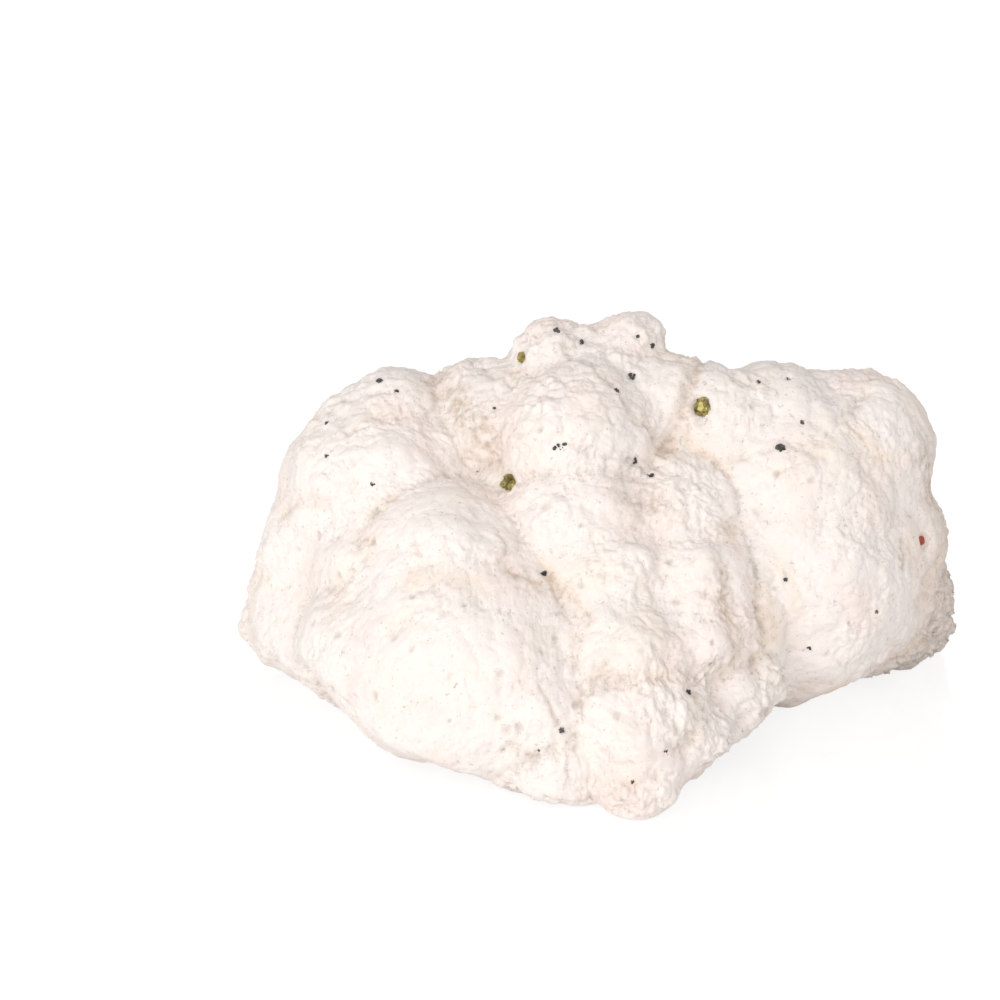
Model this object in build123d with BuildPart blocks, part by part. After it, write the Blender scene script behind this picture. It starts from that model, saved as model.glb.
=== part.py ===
"""A hand-sized lump of raw magnesium carbonate, the white mineral that gym chalk is made from.

The lump is a crust of rounded nodules grown against each other around a massive core, with small
crystals of other minerals seated in it. Each nodule is a ball with smaller knobs on its face, cut
flat where it met its neighbours, where it broke off its bed, and where the lump stands on its
flat broken underside.

Millimetres. The origin is the middle of the underside, +Z is up, -Y is the front, where the
lump's pointed toe reaches forward, and +X is to the right of somebody who faces the front.
"""

from build123d import *
from collections import namedtuple
from math import asin, cos, degrees, pi, radians, sin, sqrt
import os

# ---------------------------------------------------------------------------
# Nodules. Every ball but the core buds from a host: its centre lies at a bearing and a height
# seen from the host's centre, and stands proud of the host's ball by a distance that is
# negative where it lies inside. A bearing is turned from the front (-Y) towards the right
# (+X), and a height is above level, so below level it is negative. Both are in degrees.
# ---------------------------------------------------------------------------

Ball = namedtuple("Ball", "x y z radius")
Bud = namedtuple("Bud", "host bearing height proud radius")

CORE = Ball(x=-1.45, y=6.9, z=20.5, radius=22.0)

CROWN = {
    "crown_body": Bud(host="core", bearing=160, height=72, proud=-3.0, radius=13.5),
    "crown_knob_right": Bud(host="crown_body", bearing=125, height=69, proud=-1.25, radius=5.0),
    "crown_knob_left": Bud(host="crown_body", bearing=-106, height=51, proud=-2.0, radius=6.5),
    "crown_slab": Bud(host="crown_body", bearing=75, height=17, proud=-5.25, radius=8.5),
    "brow": Bud(host="crown_body", bearing=-25, height=8, proud=-2.75, radius=11.0),
    "brow_left": Bud(host="brow", bearing=-121, height=-3, proud=1.75, radius=7.5),
}

LEFT_LOBE = {
    "saddle": Bud(host="brow_left", bearing=-143, height=12, proud=-2.25, radius=7.5),
    "cheek": Bud(host="core", bearing=-93, height=16, proud=9.25, radius=14.5),
    "cheek_low": Bud(host="cheek", bearing=6, height=-40, proud=-2.0, radius=12.0),
    "shoulder_top": Bud(host="cheek", bearing=161, height=61, proud=-5.0, radius=9.0),
    "shoulder_outer": Bud(host="shoulder_top", bearing=-95, height=-9, proud=-3.0, radius=6.5),
    "shoulder_side": Bud(host="cheek", bearing=-109, height=6, proud=-5.5, radius=7.5),
    "side_bulge": Bud(host="cheek", bearing=-86, height=-44, proud=-2.0, radius=10.0),
    "foot": Bud(host="side_bulge", bearing=6, height=-69, proud=2.75, radius=11.5),
    "foot_upper": Bud(host="foot", bearing=-123, height=43, proud=-5.0, radius=8.0),
    "foot_tip": Bud(host="foot", bearing=-118, height=-8, proud=-0.5, radius=4.5),
}

FRONT_DOME = {
    "front_dome": Bud(host="core", bearing=-43, height=-20, proud=5.5, radius=20.0),
    "dome_cap": Bud(host="front_dome", bearing=-150, height=61, proud=-5.75, radius=13.0),
    "dome_flank": Bud(host="front_dome", bearing=-97, height=0, proud=-8.0, radius=13.5),
    "dome_nodule": Bud(host="front_dome", bearing=38, height=-2, proud=-4.5, radius=8.0),
}

RIDGES = {
    "centre_ridge_top": Bud(host="core", bearing=-11, height=43, proud=-8.0, radius=11.0),
    "centre_ridge_mid": Bud(host="centre_ridge_top", bearing=23, height=-39, proud=0.25, radius=10.0),
    "centre_ridge_low": Bud(host="centre_ridge_mid", bearing=22, height=-34, proud=1.5, radius=9.0),
    "right_ridge_top": Bud(host="centre_ridge_top", bearing=88, height=2, proud=2.5, radius=8.5),
    "right_ridge_mid": Bud(host="right_ridge_top", bearing=15, height=-40, proud=1.5, radius=8.0),
    "right_ridge_low": Bud(host="right_ridge_mid", bearing=9, height=-42, proud=0.25, radius=7.0),
}

TOE = {
    "toe_body": Bud(host="centre_ridge_low", bearing=12, height=-58, proud=-0.25, radius=10.0),
    "toe": Bud(host="toe_body", bearing=-4, height=-41, proud=-1.5, radius=6.0),
    "toe_apron": Bud(host="toe_body", bearing=-80, height=-27, proud=2.5, radius=7.5),
    "toe_nodule": Bud(host="toe_body", bearing=86, height=-18, proud=-1.5, radius=6.0),
    "low_nodule": Bud(host="toe_nodule", bearing=147, height=18, proud=3.5, radius=6.5),
}

RIGHT_LOBE = {
    "right_bulk": Bud(host="core", bearing=83, height=-3, proud=8.75, radius=17.5),
    "right_bulk_low": Bud(host="right_bulk", bearing=76, height=-80, proud=-11.5, radius=15.0),
    "right_upper_face": Bud(host="right_bulk", bearing=180, height=67, proud=-5.5, radius=16.0),
    "right_brow": Bud(host="right_upper_face", bearing=-131, height=64, proud=-5.5, radius=9.0),
    "right_brow_inner": Bud(host="right_brow", bearing=-62, height=17, proud=0.0, radius=7.0),
    "right_shoulder": Bud(host="right_upper_face", bearing=113, height=29, proud=-5.5, radius=11.5),
    "right_flank": Bud(host="right_bulk", bearing=116, height=15, proud=-5.25, radius=11.5),
    "right_flank_low": Bud(host="right_flank", bearing=114, height=-77, proud=-0.25, radius=10.5),
    "broken_corner": Bud(host="right_flank_low", bearing=118, height=-48, proud=-1.0, radius=6.5),
}

MASSIVE_BACK = {
    "back_left": Bud(host="core", bearing=-105, height=-6, proud=6.0, radius=19.0),
    "back_right": Bud(host="core", bearing=105, height=-4, proud=6.0, radius=20.0),
    "back_centre": Bud(host="core", bearing=171, height=16, proud=-10.5, radius=18.0),
    "back_upper": Bud(host="back_centre", bearing=-58, height=64, proud=-4.75, radius=14.0),
    "back_low_left": Bud(host="back_centre", bearing=-102, height=-47, proud=2.75, radius=15.0),
    "back_low_right": Bud(host="back_centre", bearing=107, height=-46, proud=1.5, radius=14.0),
    "back_left_end": Bud(host="back_left", bearing=-83, height=-29, proud=-7.5, radius=13.0),
    "back_right_end": Bud(host="back_right", bearing=89, height=-22, proud=-8.0, radius=14.0),
}

BUDS = CROWN | LEFT_LOBE | FRONT_DOME | RIDGES | TOE | RIGHT_LOBE | MASSIVE_BACK

# ---------------------------------------------------------------------------
# Knobs: smaller rounded lumps on the face of a nodule, one piece with it. Each lies at a
# bearing and a height seen from the nodule's centre, and its top rises above the round face.
# ---------------------------------------------------------------------------

Knob = namedtuple("Knob", "bearing height rise radius")

KNOBS = {
    "crown_knob_left": [Knob(bearing=0, height=28, rise=0.7, radius=3.2)],
    "crown_slab": [Knob(bearing=-1, height=58, rise=0.7, radius=3.8)],
    "brow": [
        Knob(bearing=70, height=15, rise=0.7, radius=3.5),
        Knob(bearing=18, height=36, rise=0.8, radius=4.0),
        Knob(bearing=-30, height=42, rise=0.8, radius=3.8),
    ],
    "brow_left": [
        Knob(bearing=-45, height=35, rise=0.7, radius=3.2),
        Knob(bearing=-23, height=7, rise=0.7, radius=3.2),
    ],
    "shoulder_outer": [Knob(bearing=-40, height=67, rise=0.9, radius=4.0)],
    "cheek": [
        Knob(bearing=-72, height=33, rise=0.9, radius=3.8),
        Knob(bearing=-59, height=-3, rise=0.8, radius=3.5),
        Knob(bearing=9, height=47, rise=0.8, radius=3.5),
        Knob(bearing=29, height=33, rise=0.8, radius=3.2),
    ],
    "cheek_low": [Knob(bearing=-37, height=29, rise=0.8, radius=3.5)],
    "side_bulge": [Knob(bearing=-63, height=1, rise=0.7, radius=3.2)],
    "dome_cap": [
        Knob(bearing=5, height=46, rise=1.2, radius=5.5),
        Knob(bearing=47, height=36, rise=0.9, radius=3.5),
    ],
    "front_dome": [
        Knob(bearing=24, height=31, rise=0.8, radius=4.5),
        Knob(bearing=56, height=29, rise=0.8, radius=2.8),
    ],
    "dome_nodule": [Knob(bearing=7, height=37, rise=0.7, radius=3.5)],
    "centre_ridge_top": [
        Knob(bearing=41, height=32, rise=0.9, radius=4.0),
        Knob(bearing=-20, height=23, rise=0.7, radius=3.5),
    ],
    "centre_ridge_mid": [Knob(bearing=43, height=47, rise=1.0, radius=4.5)],
    "centre_ridge_low": [
        Knob(bearing=-66, height=56, rise=0.8, radius=3.5),
        Knob(bearing=7, height=46, rise=0.7, radius=3.2),
        Knob(bearing=-42, height=3, rise=0.7, radius=2.5),
    ],
    "right_ridge_mid": [
        Knob(bearing=11, height=9, rise=0.8, radius=3.5),
        Knob(bearing=10, height=50, rise=0.6, radius=3.0),
    ],
    "right_ridge_low": [Knob(bearing=19, height=12, rise=0.7, radius=3.5)],
    "toe_body": [
        Knob(bearing=-48, height=40, rise=0.8, radius=3.0),
        Knob(bearing=-2, height=16, rise=0.9, radius=3.8),
        Knob(bearing=55, height=8, rise=0.8, radius=3.0),
    ],
    "toe": [
        Knob(bearing=-36, height=16, rise=0.5, radius=2.8),
        Knob(bearing=38, height=13, rise=0.5, radius=2.5),
    ],
    "toe_apron": [Knob(bearing=-2, height=36, rise=0.7, radius=3.0)],
    "low_nodule": [
        Knob(bearing=8, height=40, rise=0.6, radius=2.8),
        Knob(bearing=72, height=18, rise=0.7, radius=3.0),
    ],
    "right_bulk": [
        Knob(bearing=-36, height=-6, rise=4.0, radius=8.0),
        Knob(bearing=21, height=30, rise=0.6, radius=6.0),
        Knob(bearing=26, height=-10, rise=0.6, radius=5.0),
        Knob(bearing=12, height=-24, rise=0.6, radius=4.5),
    ],
    "right_upper_face": [
        Knob(bearing=-15, height=78, rise=0.7, radius=5.5),
        Knob(bearing=-12, height=29, rise=0.7, radius=6.0),
    ],
    "right_brow": [Knob(bearing=-54, height=74, rise=0.6, radius=3.0)],
    "right_brow_inner": [
        Knob(bearing=18, height=-6, rise=0.7, radius=3.8),
        Knob(bearing=-23, height=-30, rise=0.6, radius=2.5),
    ],
    "right_shoulder": [Knob(bearing=25, height=60, rise=0.6, radius=5.0)],
}

# The massive back has knobs spread evenly over its open faces, this far apart. Each takes the
# next rise and radius in turn, and its top keeps this share of its radius clear of the other
# nodules and of the underside.
BACK_KNOB_SPACING = 9.0
BACK_KNOBS = [(1.2, 5.0), (0.8, 3.6), (1.2, 6.0), (1.0, 4.4), (0.7, 5.4)]
BACK_KNOB_CLEARANCE = 0.5

# turn from one back knob to the next, in radians
GOLDEN_ANGLE = pi * (3 - sqrt(5))

# each ball is cut from a block this many radii wide, which holds it whole
BLOCK_PER_RADIUS = 2.6

# ---------------------------------------------------------------------------
# Fractures: flat faces where the lump broke from its bed. Each looks outwards along a bearing
# and a height, at a reach from the middle of its host nodule, and cuts the nodules named.
# ---------------------------------------------------------------------------

Fracture = namedtuple("Fracture", "host bearing height reach nodules")

FRACTURES = {
    "left_heel": Fracture(
        host="foot", bearing=-52.5, height=-45, reach=8.25,
        nodules=["foot", "foot_tip", "foot_upper", "cheek_low", "dome_flank"],
    ),
    "left_front": Fracture(
        host="dome_flank", bearing=-63, height=-35, reach=8.5,
        nodules=["front_dome", "dome_flank"],
    ),
    "dome_front": Fracture(
        host="front_dome", bearing=-15, height=-58, reach=16.0,
        nodules=["front_dome", "dome_flank", "dome_nodule"],
    ),
    "toe_left": Fracture(
        host="toe_apron", bearing=-32, height=-55, reach=5.0,
        nodules=["toe_apron", "toe", "toe_body", "dome_nodule", "front_dome"],
    ),
    "toe_right": Fracture(
        host="toe_body", bearing=59, height=-36.5, reach=11.5,
        nodules=["toe", "toe_body", "toe_nodule", "low_nodule"],
    ),
    "right_front": Fracture(
        host="low_nodule", bearing=49, height=-45, reach=6.5,
        nodules=["low_nodule", "toe_nodule", "right_bulk_low"],
    ),
    "right_under": Fracture(
        host="right_bulk_low", bearing=26.5, height=-56.5, reach=14.0,
        nodules=["right_bulk", "right_bulk_low", "right_flank_low"],
    ),
    "corner": Fracture(
        host="broken_corner", bearing=56, height=-37.5, reach=4.5,
        nodules=["broken_corner", "right_flank_low", "right_bulk_low"],
    ),
}

# ---------------------------------------------------------------------------
# Crystals: each has its seat on the round face of a host nodule, at a bearing and a height.
# Cubes and grains are given by their edge, and a turn is in degrees.
# ---------------------------------------------------------------------------

Seat = namedtuple("Seat", "host bearing height")

# pyrite: intergrown cubes, each turned and shifted from the one before it
PYRITE_SEATS = {
    "pyrite_left": Seat(host="core", bearing=-49, height=45),
    "pyrite_right": Seat(host="right_brow_inner", bearing=-40, height=29),
    "pyrite_crown": Seat(host="crown_knob_left", bearing=-57, height=17),
}
PYRITE_CUBES = {
    "pyrite_left": [1.6, 1.2, 1.4, 1.0, 1.1],
    "pyrite_right": [1.5, 1.3, 1.1, 0.9],
    "pyrite_crown": [0.9, 0.7, 0.6],
}
PYRITE_TURN = 77.0
PYRITE_SHIFT = 0.45
PYRITE_SINK = 0.1

# one long dark blade that lies in the brow
BLADE_SEAT = Seat(host="brow", bearing=-14, height=19)
BLADE_LENGTH = 2.3
BLADE_WIDTH = 0.9
BLADE_THICKNESS = 1.0
BLADE_CHAMFER = 0.25
BLADE_TURN = 25.0

# small dark grains, each a chamfered block half sunk in its host
Grain = namedtuple("Grain", "seat edge")
DARK_GRAINS = {
    "dark_grains_crown": [
        Grain(Seat(host="crown_knob_left", bearing=-6, height=64), edge=0.9),
        Grain(Seat(host="crown_knob_left", bearing=41, height=42), edge=0.8),
        Grain(Seat(host="crown_body", bearing=24, height=52), edge=0.8),
        Grain(Seat(host="brow", bearing=61, height=55), edge=0.6),
        Grain(Seat(host="crown_knob_right", bearing=38, height=16), edge=0.6),
        Grain(Seat(host="crown_knob_right", bearing=12, height=35), edge=0.5),
    ],
    "dark_grains_left": [
        Grain(Seat(host="shoulder_top", bearing=-50, height=70), edge=0.9),
        Grain(Seat(host="shoulder_top", bearing=1, height=61), edge=0.6),
        Grain(Seat(host="cheek", bearing=-81, height=54), edge=0.6),
        Grain(Seat(host="cheek", bearing=-47, height=40), edge=0.7),
        Grain(Seat(host="cheek", bearing=-7, height=30), edge=0.6),
        Grain(Seat(host="core", bearing=-77, height=39), edge=1.3),
        Grain(Seat(host="brow_left", bearing=-8, height=43), edge=0.5),
    ],
    "dark_grains_centre": [
        Grain(Seat(host="brow", bearing=46, height=1), edge=0.9),
        Grain(Seat(host="right_ridge_top", bearing=-66, height=62), edge=0.8),
        Grain(Seat(host="right_brow_inner", bearing=-40, height=-49), edge=0.6),
        Grain(Seat(host="right_ridge_top", bearing=88, height=53), edge=0.6),
        Grain(Seat(host="centre_ridge_top", bearing=-71, height=29), edge=0.6),
        Grain(Seat(host="front_dome", bearing=69, height=57), edge=0.8),
        Grain(Seat(host="dome_nodule", bearing=23, height=10), edge=0.7),
        Grain(Seat(host="dome_nodule", bearing=0, height=-10), edge=0.6),
        Grain(Seat(host="right_ridge_low", bearing=-6, height=-11), edge=0.7),
        Grain(Seat(host="toe_body", bearing=61, height=43), edge=0.6),
        Grain(Seat(host="toe", bearing=-10, height=30), edge=0.5),
        Grain(Seat(host="toe_body", bearing=18, height=6), edge=0.6),
    ],
    "dark_grains_right": [
        Grain(Seat(host="right_upper_face", bearing=-39, height=63), edge=0.7),
        Grain(Seat(host="right_upper_face", bearing=-6, height=61), edge=0.7),
        Grain(Seat(host="right_upper_face", bearing=-21, height=45), edge=1.1),
        Grain(Seat(host="right_brow", bearing=17, height=66), edge=0.6),
        Grain(Seat(host="right_brow_inner", bearing=81, height=53), edge=0.6),
        Grain(Seat(host="right_upper_face", bearing=63, height=62), edge=0.5),
        Grain(Seat(host="right_bulk", bearing=-34, height=26), edge=1.2),
        Grain(Seat(host="right_bulk", bearing=-13, height=22), edge=0.5),
        Grain(Seat(host="right_bulk", bearing=33, height=3), edge=0.5),
        Grain(Seat(host="right_bulk", bearing=0, height=-12), edge=0.5),
    ],
}
GRAIN_CHAMFER = 0.12
GRAIN_TURN = 53.0

# a red grain at the bottom of a pit in the right flank
RED_GRAIN_SEAT = Seat(host="right_flank", bearing=40, height=17)
RED_GRAIN_EDGE = 1.3
RED_GRAIN_CHAMFER = 0.3
RED_PIT_RADIUS = 2.4
RED_PIT_DEPTH = 1.0

# a clear rhomb just below the right pyrite
CLEAR_SEAT = Seat(host="right_brow_inner", bearing=-39, height=11)
CLEAR_EDGE = 1.0
CLEAR_LEAN = 0.3
CLEAR_SINK = 0.5

# a three-sided cleavage flake that stands proud of the right flank
FLAKE_SEAT = Seat(host="right_flank", bearing=41, height=-25)
FLAKE_HEIGHT = 4.6
FLAKE_WIDTH = 2.6
FLAKE_THICKNESS = 1.4
FLAKE_CHAMFER = 0.3
FLAKE_SINK = 0.9


# ---------------------------------------------------------------------------
# Directions, seats and seams
# ---------------------------------------------------------------------------


def facing(bearing, height):
    """Unit vector at a bearing, turned from the front towards the right, and a height above level."""
    level = cos(radians(height))
    return Vector(level * sin(radians(bearing)), -level * cos(radians(bearing)), sin(radians(height)))


def centre(ball):
    """Centre of a ball."""
    return Vector(ball.x, ball.y, ball.z)


def grow(buds):
    """Balls of all the nodules by name, each placed from its host, which grows first."""
    balls = {"core": CORE}
    waiting = dict(buds)
    while waiting:
        name = next(name for name, bud in waiting.items() if bud.host in balls)
        bud = waiting.pop(name)
        host = balls[bud.host]
        middle = centre(host) + facing(bud.bearing, bud.height) * (host.radius + bud.proud)
        balls[name] = Ball(middle.X, middle.Y, middle.Z, bud.radius)
    return balls


BALLS = grow(BUDS)


def knob_ball(name, knob):
    """Ball of a knob on a nodule."""
    host = BALLS[name]
    middle = centre(host) + facing(knob.bearing, knob.height) * (host.radius + knob.rise - knob.radius)
    return Ball(middle.X, middle.Y, middle.Z, knob.radius)


def clearance(name, point):
    """Distance from a point to the nearest of the other nodules' balls, or to the underside."""
    others = [(point - centre(ball)).length - ball.radius for other, ball in BALLS.items() if other != name]
    return min(others + [point.Z])


def spread_knobs(name):
    """Knobs on the open faces of a nodule, along a spiral that turns by the golden angle."""
    host = BALLS[name]
    count = round(4 * pi * (host.radius / BACK_KNOB_SPACING) ** 2)
    knobs = []
    for step in range(count):
        bearing = degrees(step * GOLDEN_ANGLE) % 360
        height = degrees(asin(1 - (2 * step + 1) / count))
        rise, radius = BACK_KNOBS[step % len(BACK_KNOBS)]
        top = centre(host) + facing(bearing, height) * (host.radius + rise)
        if clearance(name, top) > BACK_KNOB_CLEARANCE * radius:
            knobs.append(Knob(bearing, height, rise, radius))
    return knobs


def knobs_of(name):
    """Knobs of a nodule: spread evenly on the massive back, and chosen one by one elsewhere."""
    return spread_knobs(name) if name in MASSIVE_BACK else KNOBS.get(name, [])


def tallest(name):
    """How far the tallest knob of a nodule rises above its round face."""
    return max([knob.rise for knob in knobs_of(name)], default=0)


# the balls of each nodule: its own, then its knobs'
LUMPS = {
    name: [ball] + [knob_ball(name, knob) for knob in knobs_of(name)] for name, ball in BALLS.items()
}


def seat_plane(seat, sink=0.0):
    """Plane that touches the host's ball at the seat, lowered by sink, with its x axis level."""
    host = BALLS[seat.host]
    outwards = facing(seat.bearing, seat.height)
    level = Vector(cos(radians(seat.bearing)), sin(radians(seat.bearing)), 0)
    return Plane(origin=centre(host) + outwards * (host.radius - sink), x_dir=level, z_dir=outwards)


def seams(name):
    """Planes where a nodule meets its neighbours, each facing the neighbour.

    Two balls meet on the plane whose points have the same tangent length to both, and their
    knobs stop at that plane too.
    """
    own = BALLS[name]
    planes = []
    for neighbour, other in BALLS.items():
        if neighbour == name:
            continue
        across = centre(other) - centre(own)
        apart = across.length
        reach = (apart**2 + own.radius**2 - other.radius**2) / (2 * apart)
        if reach < own.radius + tallest(name):
            planes.append(Plane(origin=centre(own) + across.normalized() * reach, z_dir=across))
    return planes


def fractures(name):
    """Fracture planes that cut a nodule, each facing outwards."""
    planes = []
    for crack in FRACTURES.values():
        if name in crack.nodules:
            outwards = facing(crack.bearing, crack.height)
            planes.append(Plane(origin=centre(BALLS[crack.host]) + outwards * crack.reach, z_dir=outwards))
    return planes


# ---------------------------------------------------------------------------
# Crystals
# ---------------------------------------------------------------------------

crystals = []

for name, seat in PYRITE_SEATS.items():
    with BuildPart(seat_plane(seat, PYRITE_SINK)) as pyrite:
        for count, edge in enumerate(PYRITE_CUBES[name]):
            turn = count * PYRITE_TURN
            shift = PYRITE_SHIFT if count else 0.0
            with Locations((shift * cos(radians(turn)), shift * sin(radians(turn)), 0)):
                Box(edge, edge, edge, rotation=(turn / 2, turn / 3, turn))
    pyrite.part.label = name
    crystals.append(pyrite.part)

with BuildPart(seat_plane(BLADE_SEAT)) as dark_blade:
    Box(BLADE_LENGTH, BLADE_WIDTH, BLADE_THICKNESS, rotation=(0, 0, BLADE_TURN))
    chamfer(dark_blade.edges(), length=BLADE_CHAMFER)
dark_blade.part.label = "dark_blade"
crystals.append(dark_blade.part)

for name, grains in DARK_GRAINS.items():
    with BuildPart() as dark_grains:
        for count, grain in enumerate(grains):
            turn = count * GRAIN_TURN
            with Locations(seat_plane(grain.seat).location):
                Box(grain.edge, grain.edge, grain.edge, rotation=(turn, turn / 2, turn / 3))
        chamfer(dark_grains.edges(), length=GRAIN_CHAMFER)
    dark_grains.part.label = name
    crystals.append(dark_grains.part)

with BuildPart(seat_plane(RED_GRAIN_SEAT, RED_PIT_DEPTH)) as red_grain:
    Box(RED_GRAIN_EDGE, RED_GRAIN_EDGE, RED_GRAIN_EDGE)
    chamfer(red_grain.edges(), length=RED_GRAIN_CHAMFER)
red_grain.part.label = "red_grain"
crystals.append(red_grain.part)

with BuildPart() as clear_crystal:
    with BuildSketch(seat_plane(CLEAR_SEAT, CLEAR_SINK)):
        Polygon(
            (0, 0),
            (CLEAR_EDGE, 0),
            (CLEAR_EDGE + CLEAR_LEAN, CLEAR_EDGE),
            (CLEAR_LEAN, CLEAR_EDGE),
        )
    extrude(amount=CLEAR_EDGE)
clear_crystal.part.label = "clear_crystal"
crystals.append(clear_crystal.part)

with BuildPart() as cleavage_flake:
    with BuildSketch(seat_plane(FLAKE_SEAT, FLAKE_SINK)):
        Polygon(
            (-FLAKE_WIDTH / 2, FLAKE_HEIGHT / 2),
            (-FLAKE_WIDTH / 2, -FLAKE_HEIGHT / 2),
            (FLAKE_WIDTH / 2, 0),
        )
    extrude(amount=FLAKE_THICKNESS)
    outwards = Axis(seat_plane(FLAKE_SEAT).origin, seat_plane(FLAKE_SEAT).z_dir)
    chamfer(cleavage_flake.faces().sort_by(outwards)[-1].edges(), length=FLAKE_CHAMFER)
cleavage_flake.part.label = "cleavage_flake"
crystals.append(cleavage_flake.part)

# ---------------------------------------------------------------------------
# Nodules, each with the sockets of the crystals that sit in it
# ---------------------------------------------------------------------------

crystal_solids = [solid for crystal in crystals for solid in crystal.solids()]

nodules = []

for name, balls in LUMPS.items():
    block = BLOCK_PER_RADIUS * balls[0].radius
    with BuildPart() as room:
        with Locations(centre(balls[0])):
            Box(block, block, block)
        for plane in [Plane.XY.reverse()] + seams(name) + fractures(name):
            split(bisect_by=plane, keep=Keep.BOTTOM)
    lumps = []
    for ball in balls:
        with BuildPart() as lump:
            add(room.part)
            with Locations(centre(ball)):
                Sphere(ball.radius, mode=Mode.INTERSECT)
        lumps.append(lump.part)
    with BuildPart() as nodule:
        add(lumps)
        if name == RED_GRAIN_SEAT.host:
            with Locations(seat_plane(RED_GRAIN_SEAT, RED_PIT_DEPTH - RED_PIT_RADIUS).origin):
                Sphere(RED_PIT_RADIUS, mode=Mode.SUBTRACT)
        for solid in crystal_solids:
            box = solid.bounding_box()
            if any((box.center() - centre(ball)).length < ball.radius + box.diagonal / 2 for ball in balls):
                add(solid, mode=Mode.SUBTRACT)
    nodule.part.label = name
    nodules.append(nodule.part)

# ---------------------------------------------------------------------------
# One STEP file for each piece
# ---------------------------------------------------------------------------

os.makedirs("parts", exist_ok=True)
for piece in nodules + crystals:
    export_step(piece, f"parts/{piece.label}.step")
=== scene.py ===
"""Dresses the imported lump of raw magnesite: crusts over its nodules, its crystals, floor, light and camera.

Every length is in metres in the lump's own frame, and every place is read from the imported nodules.
"""

import math
from collections import namedtuple

import bpy
import numpy as np
from bpy.props import EnumProperty, FloatProperty, FloatVectorProperty, PointerProperty
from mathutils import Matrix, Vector


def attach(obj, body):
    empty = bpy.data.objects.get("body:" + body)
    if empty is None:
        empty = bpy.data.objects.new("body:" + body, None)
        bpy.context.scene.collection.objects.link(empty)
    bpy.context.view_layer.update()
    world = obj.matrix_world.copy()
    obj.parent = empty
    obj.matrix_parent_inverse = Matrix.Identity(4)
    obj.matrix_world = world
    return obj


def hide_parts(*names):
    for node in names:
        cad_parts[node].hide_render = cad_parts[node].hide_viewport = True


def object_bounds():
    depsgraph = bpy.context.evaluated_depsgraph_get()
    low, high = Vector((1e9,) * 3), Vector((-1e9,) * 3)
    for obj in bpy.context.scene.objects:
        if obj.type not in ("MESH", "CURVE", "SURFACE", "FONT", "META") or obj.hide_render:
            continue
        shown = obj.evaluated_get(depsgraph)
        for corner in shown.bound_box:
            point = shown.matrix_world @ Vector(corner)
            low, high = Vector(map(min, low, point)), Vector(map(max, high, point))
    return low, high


bl_info = {
    "name": "Raw magnesite lump",
    "version": (1, 0, 0),
    "blender": (4, 5, 0),
    "location": "View3D > Sidebar > Lump",
    "description": "Grows the crusts of a nodular magnesite lump on its packed nodules",
    "category": "Object",
}

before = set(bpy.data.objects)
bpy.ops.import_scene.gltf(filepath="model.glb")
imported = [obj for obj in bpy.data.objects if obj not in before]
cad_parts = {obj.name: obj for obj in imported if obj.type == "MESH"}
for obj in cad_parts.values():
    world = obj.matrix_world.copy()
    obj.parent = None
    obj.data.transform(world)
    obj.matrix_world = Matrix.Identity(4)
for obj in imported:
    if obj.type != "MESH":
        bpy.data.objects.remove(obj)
CAD_LOW, CAD_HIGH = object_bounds()
MM = 0.001
TINY = 1e-6

LOBES = {
    "crown": ("crown_body", "crown_knob_right", "crown_knob_left", "crown_slab", "brow", "brow_left",
              "saddle"),
    "left_lobe": ("cheek", "cheek_low", "shoulder_top", "shoulder_outer", "shoulder_side", "side_bulge",
                  "foot", "foot_upper", "foot_tip"),
    "front_dome": ("front_dome", "dome_cap", "dome_flank", "dome_nodule"),
    "ridges": ("centre_ridge_top", "centre_ridge_mid", "centre_ridge_low", "right_ridge_top",
               "right_ridge_mid", "right_ridge_low"),
    "toe": ("toe_body", "toe", "toe_apron", "toe_nodule", "low_nodule"),
    "right_lobe": ("right_bulk", "right_bulk_low", "right_upper_face", "right_brow", "right_brow_inner",
                   "right_shoulder", "right_flank", "right_flank_low", "broken_corner"),
    "back": ("core", "back_left", "back_right", "back_centre", "back_upper", "back_low_left",
             "back_low_right", "back_left_end", "back_right_end"),
}
LOBE_OF = {name: lobe for lobe, names in LOBES.items() for name in names}


# ---------------------------------------------------------------- sizes and colours

def length(name, description, default):
    """A length property in metres."""
    return FloatProperty(name=name, description=description, default=default, min=0.0,
                         subtype="DISTANCE", unit="LENGTH", precision=5)


def share(name, description, default):
    """A property between 0 and 1."""
    return FloatProperty(name=name, description=description, default=default, min=0.0, max=1.0,
                         subtype="FACTOR")


def colour(name, description, default):
    """A colour property."""
    return FloatVectorProperty(name=name, description=description, default=default, min=0.0, max=1.0,
                               subtype="COLOR", size=3)


def skin_group(title, web, swell, clump, crumb, grain, pits, warmth, streak=0.0, druse=0.0):
    """A PropertyGroup class with the roughness of one lobe. Each layer's rise is given in millimetres."""
    rows = {
        "web": length("Web", "How far the joints between neighbouring nodules are filled", web * MM),
        "swell": length("Swell", "Rise of the broad swells", swell * MM),
        "clump": length("Clumps", "Rise of the rounded clumps", clump * MM),
        "crumb": length("Crumbs", "Rise of the crumbly relief", crumb * MM),
        "grain": length("Grain", "Rise of the sugary grain", grain * MM),
        "pits": share("Pits", "Share of the places for a pit that have one", pits),
        "warmth": share("Warmth", "How strongly iron tints the lobe", warmth),
        "streak": length("Streaks", "Rise of the upright streaks", streak * MM),
        "druse": length("Druse", "Rise of the broken crystal faces", druse * MM),
    }
    return type(title, (bpy.types.PropertyGroup,), {"__annotations__": rows})


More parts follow.
